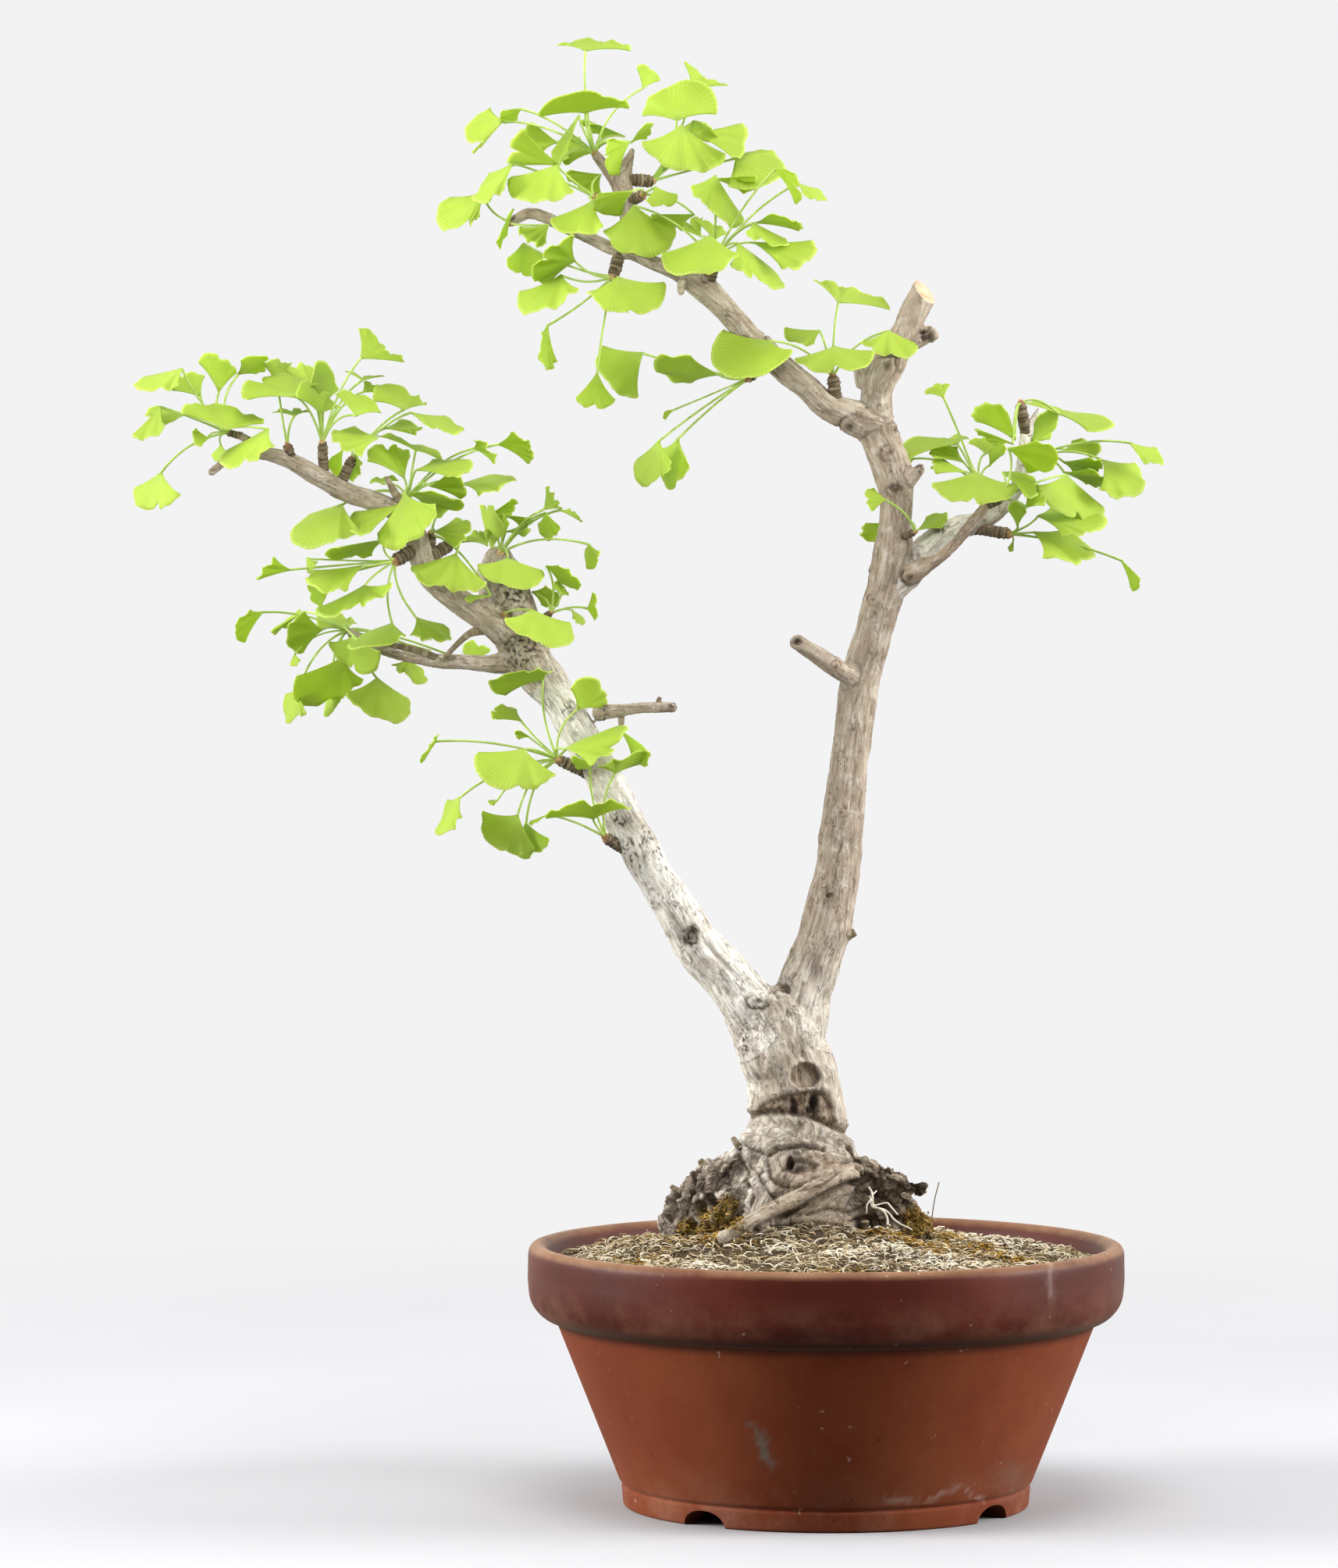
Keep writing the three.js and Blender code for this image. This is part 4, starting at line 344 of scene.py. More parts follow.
# ---- nodes and colours
MATH, MIX, RANGE, RAMP = "ShaderNodeMath", "ShaderNodeMix", "ShaderNodeMapRange", "ShaderNodeValToRGB"
NOISE, COORDS, ATTRIBUTE = "ShaderNodeTexNoise", "ShaderNodeTexCoord", "ShaderNodeAttribute"
BUMP, PRINCIPLED, OUTPUT = "ShaderNodeBump", "ShaderNodeBsdfPrincipled", "ShaderNodeOutputMaterial"
VECTOR, COMBINE, CELLS = "ShaderNodeVectorMath", "ShaderNodeCombineXYZ", "ShaderNodeTexVoronoi"
TIMES, PLUS, MINUS, LARGER, TIMES_PLUS = (
    {"operation": kind} for kind in ("MULTIPLY", "ADD", "SUBTRACT", "MAXIMUM", "MULTIPLY_ADD"))
CIRCLE, SWEEP = "GeometryNodeCurvePrimitiveCircle", "GeometryNodeCurveToMesh"
SET_OUT, RANDOM = "GeometryNodeInstanceOnPoints", "FunctionNodeRandomValue"
REAL, PAINT = "GeometryNodeRealizeInstances", "GeometryNodeSetMaterial"
STORED = "GeometryNodeInputNamedAttribute"
RGBA = {"data_type": "RGBA"}
# Sockets of a noise in the order that the lists below give them, its scale as a distance in millimetres.
# The rows of a range are its value, the two ends it comes from and the two it goes to.
CLOUD = ("Vector", "Scale", "Detail", "Roughness", "Distortion")


def linear(code):
    """sRGB hex to linear RGBA."""
    parts = [int(code[i:i + 2], 16) / 255 for i in (1, 3, 5)]
    return tuple(c / 12.92 if c <= 0.04045 else ((c + 0.055) / 1.055) ** 2.4 for c in parts) + (1.0,)


def every(mm):
    """Scale of a pattern whose features are this many millimetres apart."""
    return 1000.0 / mm


def add(tree, kind, links=None, stops=None, **settings):
    """Adds one node with its settings and links.

    A link's value is a number, a hex colour, a socket, or a node, whose first live output is then used.
    Stops are the (place, colour) pairs of a colour ramp.
    """
    node = tree.nodes.new(kind)
    for name, value in settings.items():
        setattr(node, name, value)
    if stops:
        elements = node.color_ramp.elements
        elements[0].position, elements[1].position = stops[0][0], stops[-1][0]
        for place, _ in stops[1:-1]:
            elements.new(place)
        for element, (place, colour) in zip(list(elements), stops):
            element.color = linear(colour) if isinstance(colour, str) else tuple(colour)
    for name, value in (links or {}).items():
        if isinstance(value, str) and value.startswith("#"):
            value = linear(value)
        if isinstance(value, bpy.types.Node):
            value = next(socket for socket in value.outputs if socket.enabled)
        if isinstance(value, bpy.types.NodeSocket):
            tree.links.new(value, node.inputs[name])
        else:
            node.inputs[name].default_value = value
    return node


def new_material(name):
    """Empty node material: (material, add for its tree, Object coordinates)."""
    made = bpy.data.materials.new(name)
    made.use_nodes = True
    made.node_tree.nodes.clear()
    put = functools.partial(add, made.node_tree)
    return made, put, put(COORDS).outputs["Object"]


# ---- meshes
def mesh_object(name, points, faces, edges=()):
    """Object at the origin from points in millimetres about the bowl's axis."""
    data = bpy.data.meshes.new(name)
    data.from_pydata(metres(points).tolist(), [tuple(e) for e in edges], [tuple(f) for f in faces])
    data.update()
    made = bpy.data.objects.new(name, data)
    bpy.context.scene.collection.objects.link(made)
    return made


def put_back(obj, points):
    """Moves the object's vertices to points in millimetres about the bowl's axis."""
    obj.data.vertices.foreach_set("co", metres(points).ravel())
    obj.data.update()


def read(items, field, width=3, kind=float):
    """A field of a mesh's items, a row for each."""
    values = np.empty(len(items) * width, kind)
    items.foreach_get(field, values)
    return values.reshape(-1, width)


def coordinates(obj):
    """Vertices of the object in millimetres about the bowl's axis."""
    return (read(obj.data.vertices, "co") - np.array((AXIS_X, 0, 0))) * 1000


def store(obj, name, kind, values):
    """Writes a point attribute."""
    old = obj.data.attributes.get(name)
    if old:
        obj.data.attributes.remove(old)
    made = obj.data.attributes.new(name, kind, "POINT")
    field = {"FLOAT": "value", "FLOAT_VECTOR": "vector", "FLOAT_COLOR": "color"}[kind]
    made.data.foreach_set(field, np.ascontiguousarray(values, np.float32).ravel())


def bake_modifiers(obj):
    """Turns the evaluated object into its plain mesh and drops the modifiers."""
    graph = bpy.context.evaluated_depsgraph_get()
    graph.update()
    made = bpy.data.meshes.new_from_object(obj.evaluated_get(graph), preserve_all_data_layers=True,
                                           depsgraph=graph)
    old = obj.data
    obj.modifiers.clear()
    obj.data = made
    bpy.data.meshes.remove(old)
    made.name = obj.name


def face_outward(obj):
    """Merges doubles and turns every closed shell's faces outward."""
    work = bmesh.new()
    work.from_mesh(obj.data)
    bmesh.ops.remove_doubles(work, verts=work.verts, dist=1e-7)
    bmesh.ops.recalc_face_normals(work, faces=work.faces)
    work.to_mesh(obj.data)
    work.free()
    obj.data.update()


def around(sides):
    """Evenly spaced angles round a circle, each with its cosine and sine."""
    return [(w, math.cos(w), math.sin(w)) for w in (math.tau * k / sides for k in range(sides))]


def grid_faces(rows, columns, closed=False, ringed=True):
    """Faces between rows of points: closed joins the last row to the first, ringed each row's own ends."""
    faces = []
    for i in range(rows if closed else rows - 1):
        a, b = i * columns, (i + 1) % rows * columns
        faces += [(a + j, a + (j + 1) % columns, b + (j + 1) % columns, b + j)
                  for j in range(columns if ringed else columns - 1)]
    return faces


def chain(points, edges, line):
    """Adds a line's points, each joined to the next."""
    edges.extend((len(points) + k, len(points) + k + 1) for k in range(len(line) - 1))
    points.extend(line)


def from_line(flat, line):
    """How far points of the front elevation lie from a line through it, and how far over it."""
    far, over = np.full(len(flat), 99.0), np.zeros(len(flat))
    for a, b in zip(line, line[1:]):
        a, d = np.array(a, float), np.subtract(b, a).astype(float)
        t = np.clip(((flat - a) @ d) / (d @ d), 0, 1)
        gap = flat - a - t[:, None] * d
        reach = np.linalg.norm(gap, axis=1)
        nearer = reach < far
        far, over = np.where(nearer, reach, far), np.where(nearer, gap[:, 1], over)
    return far, over


def node_group(name, sockets):
    """Geometry Nodes tree with named inputs: (tree, add for it, its inputs)."""
    tree = bpy.data.node_groups.new(name, "GeometryNodeTree")
    tree.interface.new_socket("Geometry", in_out="INPUT", socket_type="NodeSocketGeometry")
    for label, kind in sockets:
        tree.interface.new_socket(label, in_out="INPUT", socket_type="NodeSocket" + kind)
    tree.interface.new_socket("Geometry", in_out="OUTPUT", socket_type="NodeSocketGeometry")
    put = functools.partial(add, tree)
    return tree, put, put("NodeGroupInput").outputs[:len(sockets) + 1]


def run_group(obj, tree, values):
    """Runs the tree on obj with its named inputs, and bakes it."""
    modifier = obj.modifiers.new(tree.name, "NODES")
    modifier.node_group = tree
    for item in tree.interface.items_tree:
        if item.item_type == "SOCKET" and item.in_out == "INPUT" and item.name in values:
            modifier[item.identifier] = values[item.name]
    bake_modifiers(obj)
    if not len(obj.data.polygons):
        raise RuntimeError(f"{obj.name} came out empty")


def seat(obj, slot, *nodes):
    """Puts the finished piece on the root body and hides the frame's parts that it stands for; slot, what it
    is made of, is not used.
    """
    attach(obj, "root")
    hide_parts(*nodes)


def tube_tree(name):
    """Loose edges become round tubes, as thick as their "thick" attribute says, in millimetres."""
    tree, put, (geometry, sides, body, tube) = node_group(name, (
        ("Sides", "Int"), ("Body material", "Material"), ("Tube material", "Material")))
    neighbours = put("GeometryNodeInputMeshEdgeNeighbors")
    loose = put("FunctionNodeCompare", {2: neighbours, 3: 0}, data_type="INT", operation="EQUAL")
    split = put("GeometryNodeSeparateGeometry", {0: geometry, 1: loose}, domain="EDGE")
    curves = put("GeometryNodeMeshToCurve", {0: split.outputs[0]})
    circle = put(CIRCLE, {"Resolution": sides, "Radius": 0.001})
    thick = put(STORED, {"Name": "thick"}, data_type="FLOAT")
    tubes = put(SWEEP, {"Curve": curves, "Profile Curve": circle, "Scale": thick, "Fill Caps": True})
    joined = put("GeometryNodeJoinGeometry", {0: split.outputs[1]})
    tree.links.new(tubes.outputs[0], joined.inputs[0])
    skinned = put(PAINT, {0: put(REAL, {0: joined}), "Material": body})
    is_tube = put("FunctionNodeCompare", {0: thick, 1: 0.01}, data_type="FLOAT", operation="GREATER_THAN")
    put("NodeGroupOutput", {0: put(PAINT, {0: skinned, "Selection": is_tube, "Material": tube})})
    return tree


def run_tubes(obj, name, sides, skin):
    """Turns the object's edges into tubes of one material."""
    run_group(obj, tube_tree(name), {"Sides": sides, "Body material": skin, "Tube material": skin})
    obj.data.shade_smooth()


# ---- settings
Thickness = functools.partial(FloatProperty, unit="LENGTH", precision=5)
Tint = functools.partial(FloatVectorProperty, subtype="COLOR", size=4, min=0, max=1)


class GinkgoSettings(bpy.types.PropertyGroup):
    """Sizes and colours that a user would change"""

    voxel: Thickness(
        name="Wood grid", description="Grid that the wood's skin is made on", default=0.00105,
        min=0.0005, max=0.004)
    bark_relief: FloatProperty(
        name="Bark relief", description="Depth of the bark's furrows, against the usual", default=1.0,
        min=0.0, max=3.0, subtype="FACTOR")
    leaf_thickness: Thickness(
        name="Leaf thickness", description="Thickness of a leaf blade", default=0.00036, min=0.0001, max=0.002)
    leaf_wave: Thickness(
        name="Leaf wave", description="Height of the waves along a leaf's margin", default=0.0009,
        min=0.0, max=0.004)
    strands: IntProperty(
        name="Dressing strands", description="Strands of dried moss on the soil", default=8600,
        min=100, max=9500)
    terracotta: Tint(name="Terracotta", description="Colour of the bowl's wall", default=linear("#793418"))
    rim: Tint(name="Rim band", description="Colour of the bowl's rim band", default=linear("#4d1608"))
    bark: Tint(name="Bark", description="Main colour of the bark", default=linear("#a99984"))
    lichen: Tint(name="Lichen", description="Whitish crust on old bark", default=linear("#f0ede3"))
    leaf: Tint(name="Leaf", description="Colour of the leaf blades", default=linear("#b9cf47"))
    leaf_edge: Tint(name="Leaf margin", description="Paler colour at a margin", default=linear("#e6f284"))
    stalk: Tint(name="Stalk", description="Colour of the leaf stalks", default=linear("#b2c967"))
    straw: Tint(name="Straw", description="Colour of the dried moss", default=linear("#bfa985"))


# ---- materials
def fired_terracotta(look):
    # Earthenware, thrown and left unglazed: dull and gritty, dusty at a slant, smoked dark on the rim band.
    made, put, place = new_material("fired terracotta")
    up = put("ShaderNodeSeparateXYZ", {0: place}).outputs["Z"]
    clouds, grit, salt, specks = (put(NOISE, dict(zip(CLOUD, (place, every(mm), *rest)))) for mm, *rest in (
        (95, 6.0, 0.6), (9, 5.0, 0.65), (34, 7.0, 0.7), (4.5, 2.0)))
    # Zone edges run a little wild, as where a slip was wiped.
    height = put(MATH, {0: grit, 1: 0.0018, 2: up}, **TIMES_PLUS)
    on_band, worn, patchy, rise, fall, dusty, above, below, foot, settled, flecks, pits = (
        put(RANGE, dict(enumerate(row))) for row in (
            (up, 0.0945, 0.0965), (height, 0.1285, 0.1312), (salt, 0.36, 0.62, 0.35, 0.9), (up, 0.095, 0.100),
            (height, 0.120, 0.102), (salt, 0.42, 0.66, 0, 0.5), (up, 0.0885, 0.0935), (up, 0.0985, 0.0955),
            (height, 0.034, 0.004), (salt, 0.44, 0.66, 0, 0.35), (specks, 0.735, 0.78, 0, 0.4),
            (specks, 0.27, 0.23, 0, 0.6)))
    # The bloom on the band's lower edge is salt bloom, and partly painted light that lifts its downward-facing
    # rounding.
    lip, low_band, corner, dust = (put(MATH, {0: a, 1: b}, **TIMES) for a, b in (
        (worn, patchy), (rise, fall), (above, below), (foot, settled)))
    # The dark tint in the corner under the band is a painted shadow.
    bloom_and_painted_light, painted_shadow_under_band = (put(MATH, {0: a, 1: b}, **TIMES) for a, b in ((low_band, dusty), (corner, 0.8)))
    marks = put("ShaderNodeSeparateColor", {0: put(ATTRIBUTE, attribute_name="clay_marks").outputs["Color"]})
    wall = put(RAMP, {0: clouds}, ((0.3, "#6b2c13"), (0.5, look.terracotta), (0.7, "#864322")))
    rim = put(RAMP, {0: clouds}, ((0.3, "#401207"), (0.5, look.rim), (0.72, "#5c210e")))
    colour = put(MIX, {0: on_band, 6: wall, 7: rim}, **RGBA)
    # Worn lip, salt bloom low on the band, lifted on its downward-facing lower edge as painted light, a
    # painted shadow in the corner under the band, dust at the foot, flecks and pits.
    scuff, salted = marks.outputs[:2]
    for mask, tint in ((lip, "#8e694a"), (bloom_and_painted_light, "#8a5d49"), (painted_shadow_under_band, "#1c100d"), (dust, "#a67a64"),
                       (flecks, "#cdb4a6"), (pits, "#3a1d15"), (scuff, "#6f7064"), (salted, "#cbb8ac")):
        colour = put(MIX, {0: mask, 6: colour, 7: tint}, **RGBA)
    rough = put(RANGE, {0: on_band, 3: 0.8, 4: 0.5})
    surface = put(BUMP, {"Height": grit, "Distance": 0.0005, "Strength": 0.35})
    put(OUTPUT, {0: put(PRINCIPLED, {
        "Base Color": colour, "Roughness": rough, "IOR": 1.5, "Specular IOR Level": 0.21, "Sheen Weight": 0.12,
        "Sheen Roughness": 0.45, "Sheen Tint": "#ecc69a", "Normal": surface})})
    return made


def ginkgo_bark(look):
    # Old corky bark: dry and matt, fibrous along the limb, crusted with whitish lichen that is pitted dark.
    made, put, place = new_material("ginkgo bark")
    along = put(ATTRIBUTE, attribute_name="bark_place").outputs["Vector"]
    age = put(ATTRIBUTE, attribute_name="bark_age").outputs["Fac"]
    tone = put(ATTRIBUTE, attribute_name="bark_tone")
    tone_furrow_and_shade, whitened, dead_and_shade_tone = put("ShaderNodeSeparateColor", {0: tone.outputs["Color"]}).outputs
    # Patterns drawn out along the limb, less the larger the number.
    drawn, short, run, slab = (put(VECTOR, {0: along, 1: (1.0, 1.0, part)}, **TIMES) for part in (
        0.13, 0.55, 0.24, 0.5))
    streaks, patches, specks, crack, hair, broken, bent, scurf = (
        put(NOISE, dict(zip(CLOUD, (where, every(mm), *rest)))) for where, mm, *rest in (
            (drawn, 2.0, 5.0, 0.6, 0.5), (place, 26, 6.0, 0.62), (short, 2.4, 4.0, 0.65),
            (run, 4.2, 3.0, 0.55, 0.9), (run, 2.1, 2.0, 0.5, 0.5), (place, 9, 4.0, 0.6), (place, 7, 3.0),
            (place, 8, 8.0, 0.68)))
    # Fine cracks: thin brown lines that wander along the limb, 3 to 4 mm apart, and finer ones between.
    crack, hair = (put(MATH, {0: put(MATH, {0: wave, 1: 0.5}, **MINUS)}, operation="ABSOLUTE") for wave in (
        crack, hair))
    # Old cork at the foot of the tree splits into plates with open gaps.
    bent = put(VECTOR, {0: bent.outputs["Color"], 1: (0.006, 0.006, 0.006)}, **TIMES)
    slab = put(VECTOR, {0: slab, 1: bent}, **PLUS)
    plates = put(CELLS, {"Vector": slab, "Scale": every(5.2)}, feature="DISTANCE_TO_EDGE").outputs["Distance"]
    lines, hairs, broken, gaps, warm, scurf, spread, pores, film = (
        put(RANGE, dict(enumerate(row))) for row in (
            (crack, 0.004, 0.036, 1, 0), (hair, 0, 0.05, 0.45, 0), (broken, 0.36, 0.56, 0.15),
            (plates, 0.02, 0.14, 1, 0), (patches, 0.45, 0.65, 0, 0.4), (scurf, 0.54, 0.59, 0, 0.2),
            (patches, 0.26, 0.50), (specks, 0.66, 0.70, 0, 0.5), (patches, 0.36, 0.52)))
    lines = put(MATH, {0: lines, 1: hairs}, **LARGER)
    lines, gaps = (put(MATH, {0: a, 1: b}, **TIMES) for a, b in ((lines, broken), (gaps, age)))
    open_lines = put(MATH, {0: lines, 1: gaps}, **LARGER)
    furrow_and_shade_mix, crease, deep, green = (put(MATH, {0: a, 1: b}, **TIMES) for a, b in (
        (tone_furrow_and_shade, 0.6), (open_lines, 0.62), (gaps, 0.55), (tone.outputs["Alpha"], film)))
    body, crust = (put(RAMP, {0: streaks}, stops) for stops in (
        ((0.28, "#83715b"), (0.42, "#998873"), (0.55, look.bark), (0.72, "#bfb3a0")),
        ((0.28, "#cbc2b1"), (0.42, "#e0dacc"), (0.56, look.lichen), (0.78, "#f5f3ec"))))
    body = put(MIX, {0: warm, 6: body, 7: "#a48a73"}, **RGBA)
    # Lichen lies in crisp patches on the bark, few on young wood.
    crusted = put(MATH, {0: whitened, 1: spread, 2: scurf}, **TIMES_PLUS, use_clamp=True)
    dead = put(RAMP, {0: specks}, ((0.36, "#17120e"), (0.52, "#3a2e24"), (0.68, "#6b5a4a")))
    colour = put(MIX, {0: crusted, 6: body, 7: crust}, **RGBA)
    # The furrow and dead-wood tones also carry painted shade: shadow lines, the recess and the holes.
    for mask, tint in ((furrow_and_shade_mix, "#6f5a45"), (crease, "#5a4433"), (deep, "#33281f"), (dead_and_shade_tone, dead),
                       (pores, "#5a4a3a"), (green, "#77652c")):
        colour = put(MIX, {0: mask, 6: colour, 7: tint}, **RGBA)
    rough = put(MATH, {0: specks, 1: 0.5, 2: streaks}, **TIMES_PLUS)
    rough = put(MATH, {0: open_lines, 1: -0.55, 2: rough}, **TIMES_PLUS)
    surface = put(BUMP, {"Height": rough, "Distance": 0.0012, "Strength": 0.7})
    put(OUTPUT, {0: put(PRINCIPLED, {
        "Base Color": colour, "Roughness": 0.88, "Specular IOR Level": 0.25, "Normal": surface})})
    return made


def mottled(name, pattern, stops, finish, relief=None):
    """Material of one mottled colour, from the pattern's millimetres, detail and roughness.

    Finish holds the shader's own values, relief the depth and strength of a bump on the same pattern.
    """
    made, put, place = new_material(name)
    mm, *rest = pattern
    grain = put(NOISE, dict(zip(CLOUD, (place, every(mm), *rest))))
    finish = {"Base Color": put(RAMP, {0: grain}, stops), **finish}
    if relief:
        finish["Normal"] = put(BUMP, {"Height": grain, "Distance": relief[0], "Strength": relief[1]})
    put(OUTPUT, {0: put(PRINCIPLED, finish)})
    return made


def spur_bark():
    # Short shoots: dark bark in ridges, one for each year's leaf scars.
    made, put, place = new_material("spur bark")
    ridge = put(ATTRIBUTE, attribute_name="ridge").outputs["Fac"]
    specks = put(NOISE, dict(zip(CLOUD, (place, every(3.2), 4.0, 0.65))))
    colour = put(RAMP, {0: ridge}, ((0.0, "#2d271d"), (0.4, "#5a4d3b"), (0.75, "#86775f"), (1.0, "#aba08a")))
    pale = put(RANGE, dict(enumerate((specks, 0.55, 0.72, 0, 0.6))))
    colour = put(MIX, {0: pale, 6: colour, 7: "#b3a18c"}, **RGBA)
    surface = put(BUMP, {"Height": specks, "Distance": 0.0007, "Strength": 0.5})
    put(OUTPUT, {0: put(PRINCIPLED, {
        "Base Color": colour, "Roughness": 0.9, "Specular IOR Level": 0.25, "Normal": surface})})
    return made


def ginkgo_leaf(look):
    # Living leaf: thin and waxy, glows where light comes through, fine veins that fork toward the margin.
    made, put, place = new_material("ginkgo leaf")
    blade = put("ShaderNodeSeparateXYZ", {0: put(ATTRIBUTE, attribute_name="blade").outputs["Vector"]})
    across, outward = blade.outputs["X"], blade.outputs["Y"]
    tone = put(ATTRIBUTE, attribute_name="leaf_tone_and_shade").outputs["Fac"]
    mottle, drift = (put(NOISE, dict(zip(CLOUD, (place, every(mm), detail)))) for mm, detail in (
        (15, 3.0), (20, 2.0)))
    # Veins 1.5 mm apart at the margin, drawn coarser than real ones so that they show.
    fan = put(MATH, {0: drift, 1: 0.014, 2: across}, **TIMES_PLUS)
    wide, fine = (put(MATH, {0: put(MATH, {0: fan, 1: math.tau * count}, **TIMES)}, operation="SINE")
                  for count in (14, 28))
    margin, foot, fork = (put(RANGE, dict(enumerate(row))) for row in (
        (outward, 0.93, 1.0, 0, 0.8), (outward, 0.3, 0, 0, 0.5), (outward, 0.35, 0.6)))
    veins = put(RANGE, {0: put(MIX, {0: fork, 2: wide, 3: fine}), 1: 0.45})
    thin = put(MATH, {0: veins, 1: 0.34}, **TIMES)
    base = look.leaf
    # The leaf tone darkens the SHADED leaves as painted shade, and the others a little at random.
    for mask, tint in ((mottle, "#cde063"), (tone, "#a2bd3f"), (margin, look.leaf_edge), (foot, "#c9dd7c"),
                       (thin, "#9fbc38")):
        base = put(MIX, {0: mask, 6: base, 7: tint}, **RGBA)
    surface = put(BUMP, {"Height": veins, "Distance": 0.0001, "Strength": 0.3})
    skin = put(PRINCIPLED, {
        "Base Color": base, "Roughness": 0.55, "Specular IOR Level": 0.3, "Normal": surface})
    glow = put(MIX, {0: 1.0, 6: base, 7: "#fbff9a"}, **RGBA, blend_type="MULTIPLY")
    through = put("ShaderNodeBsdfTranslucent", {"Color": glow})
    put(OUTPUT, {0: put("ShaderNodeMixShader", {0: 0.52, 1: skin, 2: through})})
    return made


def potting_soil():
    # Gritty mix of bark and clay grains, dry on top.
    made, put, place = new_material("potting soil")
    grains = put(CELLS, {"Vector": place, "Scale": every(2.5)})
    clouds = put(NOISE, dict(zip(CLOUD, (place, every(16), 6.0, 0.7))))
    colour = put(RAMP, {0: clouds}, ((0.3, "#2c2117"), (0.5, "#4d3d29"), (0.7, "#6f5d42")))
    surface = put(BUMP, {"Height": grains.outputs["Distance"], "Distance": 0.0015, "Strength": 0.7})
    put(OUTPUT, {0: put(PRINCIPLED, {"Base Color": colour, "Roughness": 0.95, "Normal": surface})})
    return made


def dried_moss(name, stops):
    # Chopped strands of dried moss: straw coloured and bleached, quite matt.
    made, put, _ = new_material(name)
    colour = put(RAMP, {0: put(ATTRIBUTE, attribute_name="strand_tone").outputs["Fac"]}, stops)
    put(OUTPUT, {0: put(PRINCIPLED, {"Base Color": colour, "Roughness": 0.9, "Specular IOR Level": 0.2})})
    return made


def studio_floor():
    # Matt white sweep: dulls under the object, runs out into the plain light behind it.
    made, put, place = new_material("white studio sweep")
    far = put(VECTOR, {0: place}, operation="LENGTH").outputs["Value"]
    fade = put(RANGE, {0: far, 1: 0.45, 2: 1.5}, interpolation_type="SMOOTHSTEP")
    cloth = put(NOISE, {"Vector": place, "Scale": every(400)})
    colour = put(RAMP, {0: cloth}, ((0.3, "#b4b4b6"), (0.7, "#bababc")))
    # Its bounce is dulled, so that the bowl keeps its depth toward the foot.
    eye = put("ShaderNodeLightPath").outputs["Is Camera Ray"]
    colour = put(MIX, {0: eye, 6: "#6a6a6b", 7: colour}, **RGBA)
    matt = put(PRINCIPLED, {"Base Color": colour, "Roughness": 0.95, "Specular IOR Level": 0.1})
    lit = put("ShaderNodeEmission", {"Color": "#f3f3f4", "Strength": 1.0})
    put(OUTPUT, {0: put("ShaderNodeMixShader", {0: fade, 1: matt, 2: lit})})
    return made


# ---- bowl
def inner_r(z):
    return WALL_FOOT_R - WALL + (WALL_TOP_R - WALL_FOOT_R) * (z - 12) / (POT_H - BAND_H - 14)


def bowl_profile():
    """Closed (r, z) outline of the bowl's wall, its corners rounded by the third number."""
    under = POT_H - BAND_H - 2
    corners = (
        (DRAIN_R, FLOOR_TOP - 11, 1.5), (FOOT_R - FOOT_W - 3, FOOT_REC, 3), (FOOT_R - FOOT_W, 0, 1.5),
        (FOOT_R, 0, 1.6), (FOOT_R + 0.9, 9.4, 0.6), (FOOT_R - 0.3, 10.8, 0.5), (WALL_FOOT_R - 0.2, 12.6, 0.8),
        (WALL_TOP_R - 0.4, under - 1.2, 1.6), (WALL_TOP_R + 7, under + 1.2, 5), (RIM_R - 1, under + 8.6, 5),
        (RIM_R, POT_H - 18, 0), (RIM_R - 0.3, POT_H - 1, 5), (LIP_IN_R + 4, POT_H, 4.5),
        (LIP_IN_R - 0.5, POT_H - 8, 4), (inner_r(under) + 3, under + 4, 6),
        (inner_r(FLOOR_TOP + 8), FLOOR_TOP + 8, 8), (inner_r(FLOOR_TOP) - 9, FLOOR_TOP, 8),
        (DRAIN_R, FLOOR_TOP, 1.5),
    )
    outline, dense = [], []
    for i, (r, z, bend) in enumerate(corners):
        here = np.array((r, z), float)
        if bend <= 0:
            outline.append(here)
            continue
        sides = [np.array(corners[k % len(corners)][:2], float) - here for k in (i - 1, i + 1)]
        a, b = (here + unit(side) * min(bend, 0.48 * np.linalg.norm(side)) for side in sides)
        outline += [(1 - t) ** 2 * a + 2 * t * (1 - t) * here + t * t * b for t in (k / 5 for k in range(6))]
    for p, q in zip(outline, outline[1:] + outline[:1]):
        steps = max(1, int(np.linalg.norm(q - p) // 2.6))
        dense.extend(p + (q - p) * k / steps for k in range(steps))
    return dense


def notch_cutter(angle, index):
    """Half-round block that cuts one arched notch across the foot ring."""
    sides = 28
    c, s = math.cos(angle), math.sin(angle)
    points = []
    for y in (-(FOOT_R - 34), -(FOOT_R + 24)):
        for w, across, up in around(sides):
            x, z = NOTCH_W / 2 * across, NOTCH_H * up * (1.04 + 0.02 * math.sin(3 * w))
            points.append((c * x - s * y, s * x + c * y, z))
    ends = [tuple(range(sides - 1, -1, -1)), tuple(range(sides, 2 * sides))]
    made = mesh_object(f"notch_cutter_{index}", points, grid_faces(2, sides) + ends)
    face_outward(made)
    return made


